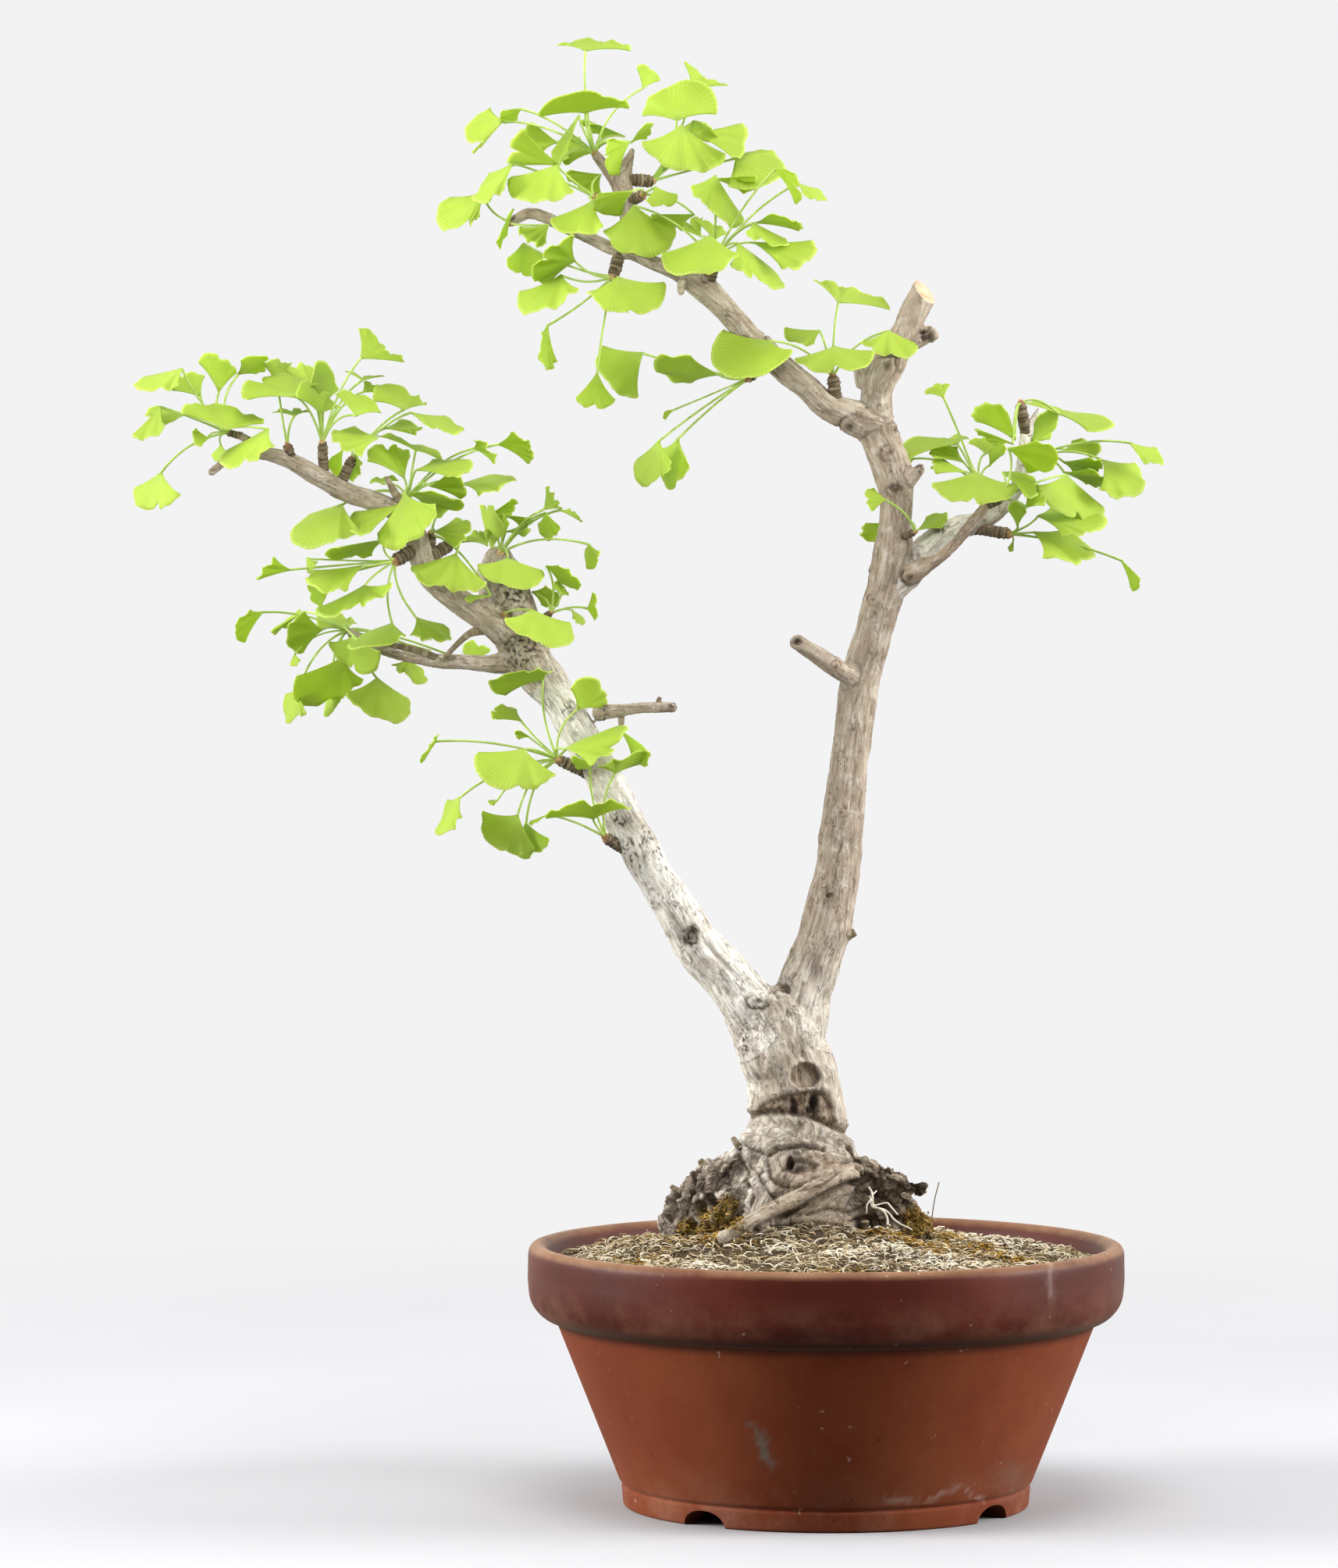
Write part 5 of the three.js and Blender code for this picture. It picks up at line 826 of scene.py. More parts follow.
class GINKGO_OT_bowl(bpy.types.Operator):
    """Throws the terracotta bowl, cuts the notches in its foot and marks its wear"""

    bl_idname = "ginkgo.bowl"
    bl_label = "Bowl"

    def execute(self, context):
        profile = bowl_profile()
        points = []
        for w, c, s in around(BOWL_SIDES):
            for r, z in profile:
                # A thrown wall runs a little out of true; the foot stays flat.
                run_out = 0.001 * math.sin(2 * w + 0.7) + 0.0006 * math.sin(5 * w + z * 0.05)
                true = 1 + run_out * min(1, z / 40)
                points.append((r * true * c, r * true * s, z))
        bowl = mesh_object("terracotta_bowl", points, grid_faces(BOWL_SIDES, len(profile), closed=True))
        face_outward(bowl)
        cutters = []
        for i in range(NOTCHES):
            cutters.append(notch_cutter(math.radians(NOTCH_AT + 360 / NOTCHES * i), i))
            cut = bowl.modifiers.new(f"notch {i}", "BOOLEAN")
            cut.operation, cut.solver, cut.object = "DIFFERENCE", "EXACT", cutters[-1]
        bake_modifiers(bowl)
        for cutter in cutters:
            bpy.data.objects.remove(cutter)
        self.mark_wear(bowl)
        bowl.data.materials.clear()
        bowl.data.materials.append(fired_terracotta(context.scene.ginkgo))
        bowl.data.shade_smooth()
        bowl.data.set_sharp_from_angle(angle=math.radians(38))
        seat(bowl, "terracotta", "pot")
        return {"FINISHED"}

    def mark_wear(self, bowl):
        """Scuff, salt line and scratches on the front: channel, strength, width, then x, z along them."""
        points = coordinates(bowl)
        flat = elevation(points)
        values = np.zeros((len(points), 4))
        ragged = np.array([noise.noise(Vector(p / 2.4)) + 0.5 * noise.noise(Vector(p / 1.1)) for p in points])
        ragged = np.maximum(1 + 1.1 * ragged, 0.4)
        for channel, strength, width, line in (
            (0, 0.5, 0.9, ((-40.6, 40.8), (-36.2, 39.1), (-33.1, 33.2), (-31.7, 28.1))),
            (0, 0.8, 1.7, ((-33.2, 34), (-31.7, 28.1), (-29.6, 23))),
            (0, 0.6, 2.2, ((-29.8, 22.5), (-27, 19.6))), (0, 0.22, 7.0, ((93, 13.5), (97, 12))),
            (1, 0.3, 0.8, ((30, 1.6), (38, 1.2), (44.8, 1), (49.9, 1), (53.6, 1.6), (57.6, 5.1), (65.2, 7.7),
                            (70.3, 7.7), (72.9, 3.7), (79.1, 1.4))),
            (1, 0.22, 0.9, ((113, 124), (113.4, 108), (114, 102))),
        ):
            far = from_line(flat, line)[0] * ragged
            fade = np.exp(-(far / width) ** 2) * strength * (points[:, 1] < 0)
            values[:, channel] = np.maximum(values[:, channel], fade)
        store(bowl, "clay_marks", "FLOAT_COLOR", values)


class GINKGO_OT_screen(bpy.types.Operator):
    """Lays the plastic netting over the drain hole, as crossing bars in a round rim"""

    bl_idname = "ginkgo.screen"
    bl_label = "Drain screen"

    def execute(self, context):
        z, pitch, edge = FLOOR_TOP + GAP + SCREEN_T / 2, 3.0, SCREEN_R - 0.7
        points, edges = [], []
        steps = int(edge // pitch)
        for i in range(-steps, steps + 1):
            half = math.sqrt(edge ** 2 - (i * pitch) ** 2)
            chain(points, edges, ((-half, i * pitch, z), (half, i * pitch, z)))
            chain(points, edges, ((i * pitch, -half, z), (i * pitch, half, z)))
        first = len(points)
        chain(points, edges, [(edge * c, edge * s, z) for _, c, s in around(56)])
        edges.append((len(points) - 1, first))
        netting = mesh_object("drain_netting", points, (), edges)
        store(netting, "thick", "FLOAT", np.full(len(points), 0.55))
        # Black polypropylene netting: moulded, satin, dusty.
        plastic = mottled("black mesh plastic", (8, 3.0), ((0.4, "#161616"), (0.7, "#3a332b")),
                          {"Roughness": 0.55})
        run_tubes(netting, "netting bars", 8, plastic)
        seat(netting, "screen_mesh", "drain_screen")
        return {"FINISHED"}


# ---- soil and its dressing
def soil_top(r, w):
    s = max(0.0, 1 - r / (LIP_IN_R - 3))
    shift = 14 * math.cos(w - math.pi)
    mound = SOIL_MOUND * min(1.0, s * (1 + shift / 60)) ** 1.15
    wave = 1.3 * math.sin(5 * w + r * 0.11) + 0.8 * math.sin(9 * w - r * 0.2)
    return SOIL_EDGE_Z + mound + wave * min(1.0, s * 5)


def crumb_top(r, w):
    """Soil level with its crumbs."""
    spot = Vector((r * math.cos(w) / 7, r * math.sin(w) / 7, 3.1))
    crumbs = 1.3 * noise.noise(spot) + 0.7 * noise.noise(spot * 2.7)
    return soil_top(r, w) + crumbs * min(1.0, (LIP_IN_R - r) / 12 + 0.35)


class GINKGO_OT_soil(bpy.types.Operator):
    """Fills the bowl with potting soil, mounded toward the trunk"""

    bl_idname = "ginkgo.soil"
    bl_label = "Soil"

    def execute(self, context):
        floor = FLOOR_TOP + SCREEN_T + 2 * GAP
        low, under = FLOOR_TOP + 9, POT_H - BAND_H - 2
        wall = [(inner_r(FLOOR_TOP) - 12, floor), (inner_r(low) - 1.6, low), (inner_r(under) - 1.2, under)]
        radii = [LIP_IN_R - 1.2 - 2.6 * i for i in range(52)]
        points = []
        for w, c, s in around(SOIL_SIDES):
            points.extend((r * c, r * s, z) for r, z in wall)
            points.extend((r * c, r * s, crumb_top(r, w)) for r in radii)
        count = len(wall) + len(radii)
        bottom, top = len(points), len(points) + 1
        points += [(0, 0, floor), (0, 0, crumb_top(0, 0))]
        faces = grid_faces(SOIL_SIDES, count, closed=True, ringed=False)
        for k in range(SOIL_SIDES):
            a, b = k * count, (k + 1) % SOIL_SIDES * count
            faces += [(a, b, bottom), (a + count - 1, top, b + count - 1)]
        soil = mesh_object("potting_soil", points, faces)
        face_outward(soil)
        soil.data.materials.append(potting_soil())
        soil.data.shade_smooth()
        seat(soil, "soil", "soil")
        return {"FINISHED"}


def strand_tree(name):
    """Scatters bent strands over the points: each lies down, turned and stretched at random."""
    tree, put, (points, long, radius, bend, seed, skin) = node_group(name, (
        ("Strand length", "Float"), ("Strand radius", "Float"), ("Bend", "Float"), ("Seed", "Int"),
        ("Material", "Material")))
    half, rise = (put(MATH, {0: long, 1: part}, **TIMES) for part in (0.5, bend))
    minus, lifted = (put(MATH, {0: part, 1: by}, **TIMES) for part, by in ((half, -1.0), (rise, 0.35)))
    start, middle, end = (put(COMBINE, way) for way in (
        {"X": minus}, {"Y": rise, "Z": rise}, {"X": half, "Z": lifted}))
    line = put("GeometryNodeCurveQuadraticBezier", {
        "Resolution": 3, "Start": start, "Middle": middle, "End": end})
    circle = put(CIRCLE, {"Resolution": 3, "Radius": radius})
    strand = put(SWEEP, {"Curve": line, "Profile Curve": circle, "Fill Caps": True})
    size_seed, tone_seed = (put(MATH, {0: seed, 1: more}, **PLUS) for more in (7.0, 13.0))
    turn, size = (put(RANDOM, {"Min": low, "Max": high, "Seed": own}, data_type="FLOAT_VECTOR")
                  for low, high, own in (((-0.5, -0.45, 0.0), (0.5, 0.45, math.tau), seed),
                                         ((0.45, 0.3, 0.3), (1.35, 1.5, 1.4), size_seed)))
    turned = put("FunctionNodeEulerToRotation", {0: turn})
    laid = put(SET_OUT, {"Points": points, "Instance": strand, "Rotation": turned, "Scale": size})
    shade = put(RANDOM, {3: 1.0, "Seed": tone_seed}, data_type="FLOAT")
    toned = put("GeometryNodeStoreNamedAttribute", {0: laid, "Name": "strand_tone", "Value": shade},
                data_type="FLOAT", domain="INSTANCE")
    put("NodeGroupOutput", {0: put(PAINT, {0: put(REAL, {0: toned}), "Material": skin})})
    return tree


def on_soil(count, seed, lift, where):
    """Points spread over the soil, up to this much above it, as thick as where says."""
    rng = random.Random(seed)
    points = []
    while len(points) < count:
        r = math.sqrt(rng.uniform(0, (LIP_IN_R - 3) ** 2))
        w = rng.uniform(0, math.tau)
        x, y = r * math.cos(w), r * math.sin(w)
        if where and rng.random() > where(x, y):
            continue
        points.append((x, y, crumb_top(r, w) + lift * rng.random()))
    return points


MOSSY = ((30,-22,10),(46,-32,10),(58,-8,11),(76,-22,12),(90,-42,11),(66,14,12),(12,-114,13),
         (-5,-117,8),(-50,-40,9),(-72,-22,8),(-84,12,12),(20,74,18),(-40,66,14),(-96,-50,8))
BLEACHED = ((31,-62,14),(12,-74,12),(-25,-62,9),(50,-66,10),(88,34,14),(-62,-90,10),(70,-88,9),
            (30,90,16),(-80,50,12))
# Moss on the roots, in the front elevation: x, z, reach.
ROOT_MOSS = ((-49,151,4.5),(-53,144,6),(-46,141,5),(-61,146,4),(-70,138,5),(-60,137,5),(44,146,4),
             (51,142,6),(45,138,6),(60,137,6))
# Bleached root hairs that hang from the right-hand root, in the same rows as the roots.
HAIRS = (
    ((21.5,160,-24,0.5),(23.5,154,-27,0.6),(28,146,-31,0.55),(33,139,-36,0.35)),
    ((21,154,-26,0.45),(26,149,-29,0.5),(35,143,-31,0.5),(43,138,-34,0.3)),
    ((25,158,-24,0.35),(22,152,-28,0.45),(20,147,-30,0.3)),
    ((24,152,-27,0.35),(31,150,-27,0.45),(37,146,-29,0.3)),
)


def patch(places):
    """How much of a patch lies at a point: 1 in its middle, fading to 0."""
    return lambda x, y: max(math.exp(-((x - a) ** 2 + (y - b) ** 2) / r ** 2) for a, b, r in places)


class GINKGO_OT_dressing(bpy.types.Operator):
    """Strews chopped dried moss over the soil, with bleached strands and small green cushions"""

    bl_idname = "ginkgo.dressing"
    bl_label = "Moss dressing"

    def execute(self, context):
        look = context.scene.ginkgo
        straw = ((0.0, "#3d2e1e"), (0.28, "#82704f"), (0.55, look.straw), (0.85, "#dfd4ba"), (1.0, "#f0e8d4"))
        pale = ((0.0, "#cfc5a9"), (0.5, "#dfd7c2"), (1.0, "#eee8da"))
        cushion = ((0.0, "#5c4413"), (0.45, "#977225"), (0.8, "#b98f3c"), (1.0, "#cfae62"))
        for name, count, seed, where, lift, length, radius, bend, kind, stops in (
            ("dried_moss", look.strands, 11, None, 1.0, 0.0080, 0.00033, 0.38, "dried moss", straw),
            ("bleached_strands", 460, 29, patch(BLEACHED), 1.2, 0.0076, 0.00031, 0.42,
             "bleached strands", pale),
            ("green_moss", 6000, 47, patch(MOSSY), 1.9, 0.0026, 0.00032, 0.5, "cushion moss", cushion),
        ):
            piece = mesh_object(name, on_soil(count, seed, lift, where), ())
            run_group(piece, strand_tree(name), {
                "Strand length": length, "Strand radius": radius, "Bend": bend, "Seed": seed,
                "Material": dried_moss(kind, stops)})
            piece.data.shade_smooth()
            seat(piece, "soil", "soil")
        return {"FINISHED"}


# ---- wood
def smooth_limb(rows, step=2.0):
    """Rows of a limb on a smooth curve: centres and radii, a step apart."""
    knots = np.array([tuple(carry(x, z, y)) + (r,) for x, z, y, r in rows])
    out = []
    for i in range(len(knots) - 1):
        a, b, c, d = (knots[max(0, i - 1)], knots[i], knots[i + 1], knots[min(len(knots) - 1, i + 2)])
        steps = max(1, round(float(np.linalg.norm(c[:3] - b[:3])) / step))
        for k in range(steps):
            t = k / steps
            out.append(0.5 * (2 * b + (c - a) * t + (2 * a - 5 * b + 4 * c - d) * t * t
                              + (3 * b - 3 * c + d - a) * t ** 3))
    out.append(knots[-1])
    out = np.array(out)
    return out[:, :3], np.maximum(out[:, 3], 0.3)


def along_frames(centres):
    """Direction and two sides at each centre, carried along without twist."""
    ways = np.gradient(centres, axis=0)
    ways /= np.linalg.norm(ways, axis=1)[:, None]
    side = np.array((1.0, 0, 0)) if abs(ways[0][1]) > 0.9 else np.array((0, 1.0, 0))
    sides = []
    for way in ways:
        side = unit(side - way * side.dot(way))
        sides.append(side)
    sides = np.array(sides)
    return ways, sides, np.cross(ways, sides)


def limb_shell(centres, radii, lobe, seed, sides, squash):
    """Closed skin of one limb with a rounded end: points and faces."""
    ways, left, up = along_frames(centres)
    rings = list(zip(centres, radii, left, up))
    end, last_r = centres[-1], radii[-1]
    for k in (1, 2, 3):
        w = k / 3 * 1.45
        rings.append((end + ways[-1] * last_r * 0.75 * math.sin(w), last_r * math.cos(w), left[-1], up[-1]))
    points = []
    for i, (centre, r, a, b) in enumerate(rings):
        for _, c, s in around(sides):
            spot = Vector((c * 1.4 + seed * 3.7, s * 1.4, i * 0.14))
            grown = r * (1 + lobe * 1.8 * noise.noise(spot))
            points.append(centre + a * grown * squash * c + b * grown * s)
    last = (len(rings) - 1) * sides
    ends = [tuple(range(sides - 1, -1, -1)), tuple(range(last, last + sides))]
    return points, grid_faces(len(rings), sides) + ends


SAW_POINT = carry(49, 609.5, 5)
SAW_LEAN, SAW_RISE = math.radians(25), math.radians(47)
SAW_WAY = np.array((math.cos(SAW_LEAN) * math.sin(SAW_RISE), -math.sin(SAW_LEAN),
                    math.cos(SAW_LEAN) * math.cos(SAW_RISE)))
THIN = ("greyTwig", "crookTwig", "thornTwig", "leftTipShoot")
THICK = [name for name in LIMBS if name not in THIN]


class GINKGO_OT_wood(bpy.types.Operator):
    """Grows the trunks, roots and branches as one skin and carves their bark"""

    bl_idname = "ginkgo.wood"
    bl_label = "Wood"

    def execute(self, context):
        look = context.scene.ginkgo
        limbs = [(TRUNK, 0.07, 0.92), (LEFT_TRUNK, 0.07, 1.0), (RIGHT_TRUNK, 0.07, 1.0)]
        limbs += [(LIMBS[name], 0.06, 1.0) for name in THICK]
        limbs += [(rows, 0.14, 1.0) for rows in ROOTS]
        points, faces, samples = [], [], []
        for index, (rows, lobe, squash) in enumerate(limbs):
            centres, radii = smooth_limb(rows)
            shell, skin = limb_shell(centres, radii, lobe, index, TRUNK_SIDES if rows is TRUNK else LIMB_SIDES,
                                     squash)
            faces.extend(tuple(len(points) + v for v in face) for face in skin)
            points.extend(shell)
            ways, left, up = along_frames(centres)
            lengths = np.concatenate(([0], np.cumsum(np.linalg.norm(np.diff(centres, axis=0), axis=1))))
            samples.extend(zip(centres, ways, left, up, lengths, radii, [index] * len(centres)))
        wood = mesh_object("ginkgo_wood", points, faces)
        face_outward(wood)
        grid = wood.modifiers.new("skin", "REMESH")
        grid.mode, grid.voxel_size, grid.use_smooth_shade = "VOXEL", look.voxel, True
        bake_modifiers(wood)
        self.saw(wood)
        self.settle(wood)
        self.waist(wood)
        self.carve(wood, samples, look.bark_relief)
        wood.modifiers.new("fewer faces", "DECIMATE").ratio = FACES_KEPT
        bake_modifiers(wood)
        data = wood.data
        data.materials.clear()
        data.materials.append(ginkgo_bark(look))
        # Fresh saw cut across sapwood: pale, fine grained, dry.
        data.materials.append(mottled(
            "sawn ginkgo wood", (6, 5.0, 0.6), ((0.3, "#b8946f"), (0.5, "#d0b391"), (0.72, "#dec9aa")),
            {"Roughness": 0.8}, (0.0004, 0.3)))
        gap = read(data.polygons, "center") - metres(SAW_POINT)
        faces_it = read(data.polygons, "normal") @ SAW_WAY > 0.8
        sawn = (np.linalg.norm(gap, axis=1) < 0.016) & (np.abs(gap @ SAW_WAY) < 0.0012) & faces_it
        data.polygons.foreach_set("material_index", sawn.astype(np.int32))
        data.shade_smooth()
        data.update()
        seat(wood, "bark", "tree")
        return {"FINISHED"}

    def saw(self, wood):
        """Cuts the big stub at a slant and closes the cut."""
        work = bmesh.new()
        work.from_mesh(wood.data)
        spot = Vector(metres(SAW_POINT))
        near = [v for v in work.verts if (v.co - spot).length < 0.045 and v.co.z > spot.z - 0.03]
        chosen = set(near)
        faces = [f for f in work.faces if all(v in chosen for v in f.verts)]
        edges = {e for f in faces for e in f.edges}
        bmesh.ops.bisect_plane(work, geom=near + list(edges) + faces, plane_co=spot, plane_no=Vector(SAW_WAY),
                               clear_outer=True)
        rim = [e for e in work.edges if len(e.link_faces) == 1]
        if not rim:
            raise RuntimeError("the saw cut missed the stub")
        filled = bmesh.ops.holes_fill(work, edges=rim, sides=0)
        bmesh.ops.triangulate(work, faces=filled["faces"])
        if any(len(e.link_faces) != 2 for e in work.edges):
            raise RuntimeError("the saw cut is not closed")
        work.to_mesh(wood.data)
        work.free()

    def settle(self, wood):
        """Smooths the grid's steps without shrinking thin limbs."""
        data = wood.data
        co = read(data.vertices, "co")
        a, b = read(data.edges, "vertices", 2, np.int32).T
        degree = np.bincount(a, minlength=len(co)) + np.bincount(b, minlength=len(co))
        held = np.abs((co - metres(SAW_POINT)) @ SAW_WAY) < 1e-5
        for _ in range(3):
            for pull in (0.55, -0.57):
                total = np.zeros_like(co)
                np.add.at(total, a, co[b])
                np.add.at(total, b, co[a])
                move = (total / degree[:, None] - co) * pull
                move[held] = 0
                co = co + move
        data.vertices.foreach_set("co", co.ravel())
        data.update()

    def waist(self, wood):
        """Draws the neck under the ledge in, so that the roots stand off from it like shelves."""
        points = coordinates(wood)
        x, z = elevation(points).T
        left = np.interp(z, (176, 181, 193), (-46, -42.5, -38))
        right = np.interp(z, (174, 185, 190), (15.0, 12.5, 14))
        over = np.maximum(x - right, 0) * smoothstep(170, 176.5, z)
        over -= np.maximum(left - x, 0) * smoothstep(172, 179, z)
        points[:, 0] -= 0.8 * over * smoothstep(199, 190, z)
        put_back(wood, points)

    def carve(self, wood, samples, relief):
        """Raises the bark's plates, cuts its furrows and cracks, and stores its tones."""
        points = coordinates(wood)
        flat = elevation(points)
        normals = read(wood.data.vertices, "normal", 3, np.float32)
        tree = KDTree(len(samples))
        for i, sample in enumerate(samples):
            tree.insert(sample[0], i)
        tree.balance()
        near = np.empty((len(points), 5))
        for i, point in enumerate(points):
            found = min(tree.find_n(point, 7), key=lambda hit: hit[2] - samples[hit[1]][5])
            centre, way, left, up, length, radius, limb = samples[found[1]]
            d = point - centre
            near[i] = d @ left, d @ up, length + d @ way, radius, limb
        x, y, s, radius, limb = near.T
        across, z = flat.T
        place = np.stack((x + limb * 31, y + limb * 17, s), 1)
        old = np.minimum(1.0, radius / 11)
        first_root = 3 + len(THICK)
        surface_root = limb == first_root + 3
        bare_rod, crusty = (limb == 3 + THICK.index(name) for name in ("frontBranch", "rightBranch"))
        lump = np.clip(smoothstep(-36, -52, across) + smoothstep(14, 28, across), 0.0, 1)
        low = smoothstep(182, 170, z) * (limb >= first_root) * ~surface_root * (0.22 + 0.78 * lump)
        stem = smoothstep(300, 240, z) * (limb < 3)
        wander = self.spread(points / 9) * 1.5
        fibre = self.spread(np.stack(((x + wander) / 2.7 + limb * 5, (y - wander) / 2.7, s / 16), 1))
        hair = self.spread(np.stack(((x + wander) / 1.6, y / 1.6 + limb * 3, s / 11), 1))
        worn = smoothstep(-0.30, 0.25, self.spread(points / 19))
        lumps, grit, speck, ragged = (self.spread(points / size) for size in (11, 2.1, 1.6, 3.4))
        cut = smoothstep(0.12, 0.46, fibre) * (0.25 + 0.75 * worn) * (0.45 + 0.55 * old)
        thin = smoothstep(0.10, 0.42, hair)
        push = (0.22 + 0.3 * old + 0.55 * stem) * (-1.1 * cut - 0.45 * thin + 0.35 * (fibre < -0.1))
        push += 0.6 * lumps * old + 0.12 * grit
        # Young wood wrinkles round the limb.
        rings = self.spread(np.stack((x / 5, y / 5, s / 1.5 + limb), 1))
        push += np.where(radius < 7.5, 0.2 * rings, 0)
        # Old roots: loose upright flakes of cork with dark gaps between them.
        spots = points / (4.2, 4.2, 8.5)
        flake = np.array([noise.turbulence(Vector(spot), 3, False) for spot in spots])
        gap = smoothstep(0.50, 0.30, flake)
        push += low * (4.6 * (flake - 0.58) + 2.0 * self.spread(points / 5.5) + 0.7 * grit)
        push *= relief
        # Tones: furrow and painted shade, lichen, dead wood and painted shade, moss.
        tone = np.zeros((len(points), 4))

        def tint(where, channel, value):
            tone[where, channel] = np.maximum(tone[where, channel], value)

        tone[:, 0] = np.clip(0.42 * cut + 0.16 * thin + 0.7 * low * gap, 0, 1) * np.where(bare_rod, 0.4, 1)
        tone[:, 1] = self.lichen_at(flat, limb) * (1 - 0.45 * low) * np.where(surface_root, 0.3, 1)
        tone[:, 1] = np.where(crusty, 0.75, np.where(bare_rod, 0.0, tone[:, 1]))
        crown = (across < -86) * smoothstep(632, 648, z)
        tone[:, 0] = np.clip(tone[:, 0] + crown * (0.45 + 0.5 * lumps), 0, 1)
        age = np.clip(0.55 * low + 0.45 * smoothstep(204, 190, z) * ~surface_root, 0, 1)
        tone[:, 3] = np.max([fading(np.hypot(across - a, z - b), 1 / r) for a, b, r in ROOT_MOSS], 0)
        front = normals[:, 1] < -0.05
        tone[:, 2] = np.where(limb == 1, 0.95 * smoothstep(0.18, 0.32, speck) * smoothstep(-0.1, 0.2, lumps)
                              * smoothstep(290, 310, z) * smoothstep(352, 335, z), 0) + 0.32 * low * gap
        # Above the ledge a strip of bark is lost, and the bare wood lies deeper; it is browner, and painted
        # darker still and specked dark as painted shade in the recess.
        ledge = np.interp(across, (-43, -36, -28, -18, -8, 2), (192.5, 195.5, 196.5, 196.5, 194.5, 190.5))
        brow = np.interp(across, (-38, -33, -20, -2, 4), (194, 200, 205, 208.6, 199))
        bare = front * smoothstep(-0.5, 1.0, z - ledge) * smoothstep(0.8, -0.8, z - brow) * (across < 4)
        push -= 1.7 * bare
        tint(..., 0, bare * (0.8 + 0.6 * lumps))
        tone[:, 1] *= 1 - bare
        tint(..., 2, 0.7 * bare * smoothstep(0.05, 0.3, speck))
        for kind, marks in MARKS.items():
            for mx, mz, wide, high in marks:
                reach = np.hypot((across - mx) / wide, (z - mz) / high)
                reach = reach * (1 + {"eye": 0.6, "cut": 0.14}.get(kind, 0.35) * ragged)
                here = front & (reach < 2.6)
                d, rough = reach[here], speck[here]
                # The dark fold of a healed knot runs only part of the way round it.
                arc = 0.5 + 0.5 * np.cos(np.arctan2(z[here] - mz, across[here] - mx) - mx * 1.7)
                if kind == "cut":
                    push[here] += 2.2 * ridge(d, 1.08, 0.2) - 1.6 * smoothstep(1.0, 0.8, d)
                    tint(here, 0, ridge(d, 0.84, 0.13))
                    tint(here, 0, 0.42 * smoothstep(0.9, 0.7, d))
                    tint(here, 2, 0.7 * ridge(d, 0.9, 0.07) * arc)
                    tone[here, 1] *= 1 - smoothstep(1.0, 0.8, d)
                elif kind == "eye":
                    swirl = np.cos(d * math.tau * 1.5)
                    push[here] += 1.5 * swirl * fading(d, 0.95)
                    tint(here, 0, (0.5 - 0.5 * swirl) * fading(d, 0.8))
                    tint(here, 2, 0.8 * fading(d, 4.0))
                elif kind == "wound":
                    push[here] += 1.5 * ridge(d, 1.1, 0.25) * (1 - 0.7 * arc) - 2.0 * fading(d, 1, 4)
                    tint(here, 0, fading(d, 1, 4))
                    tint(here, 2, fading(d, 0.95, 6) * smoothstep(-0.25, 0.1, rough))
                # A hole is sunk and painted dark inside as painted shade.
                elif kind == "hole":
                    push[here] -= 3.4 * fading(d, 1, 4)
                    tint(here, 2, fading(d, 0.85, 6))
                elif kind == "char":
                    push[here] += 2.4 * rough * fading(d, 1, 4)
                    tint(here, 2, fading(d, 0.8, 6))
                elif kind == "knot":
                    fold = ridge(d, 0.95, 0.2) * (0.25 + 0.75 * arc)
                    push[here] += 1.8 * fading(d, 0.7) - 1.5 * fold - 1.2 * fading(d, 2.6)
                    tint(here, 0, np.maximum(fold, 0.9 * fading(d, 2.2)))
                    tint(here, 2, 0.75 * np.maximum(ridge(d, 0.95, 0.11) * arc ** 2, fading(d, 3.4)))
                else:
                    push[here] += rough * 1.6 * fading(d, 1)
                    tint(here, 2, smoothstep(-0.1, 0.25, rough) * fading(d, 0.9, 4))
        # Each line is cut in with a lip raised over it and painted dark along it: in the cracks and folds, and
        # as a painted shadow under the ledge and under the surface root.
        for width, depth, line in CRACKS_AND_SHADOW_LINES:
            far, over = from_line(flat, line)
            here = front & (far < 9)
            d = far[here]
            push[here] -= depth * ridge(d, 0, width)
            push[here] += 0.45 * depth * ridge(d, 2.6 * width, 1.3 * width) * (over[here] > 0)
            tint(here, 0, ridge(d, 0, width))
            tint(here, 2, 0.55 * ridge(d, 0, 0.6 * width))
        # The sawn face stays flat.
        off = (points - SAW_POINT) @ SAW_WAY
        close = np.linalg.norm(points - SAW_POINT, axis=1) < 16
        push[close & (np.abs(off) < 0.6)] = 0
        tone[:, 0:3] = np.clip(tone[:, 0:3], 0, 1)
        put_back(wood, points + normals * push[:, None])
        store(wood, "bark_tone", "FLOAT_COLOR", tone)
        store(wood, "bark_place", "FLOAT_VECTOR", place * 0.001)
        store(wood, "bark_age", "FLOAT", age)

    def spread(self, spots):
        """Smooth noise from -1 to 1 at each spot."""
        return np.array([noise.noise(Vector(spot)) for spot in spots])

    def lichen_at(self, spot, limb):
        """How whitish the bark is: most on the left trunk and the old base, least on young branches."""
        x, z = spot.T
        left = 0.95 - 0.75 * smoothstep(395, 440, z)
        right = 0.12 + 0.45 * smoothstep(300, 240, z)
        base = 0.34 + 0.45 * smoothstep(-20, -50, x)
        return np.select((limb == 1, limb == 2, (limb == 0) | (z < 196)), (left, right, base), 0.15)


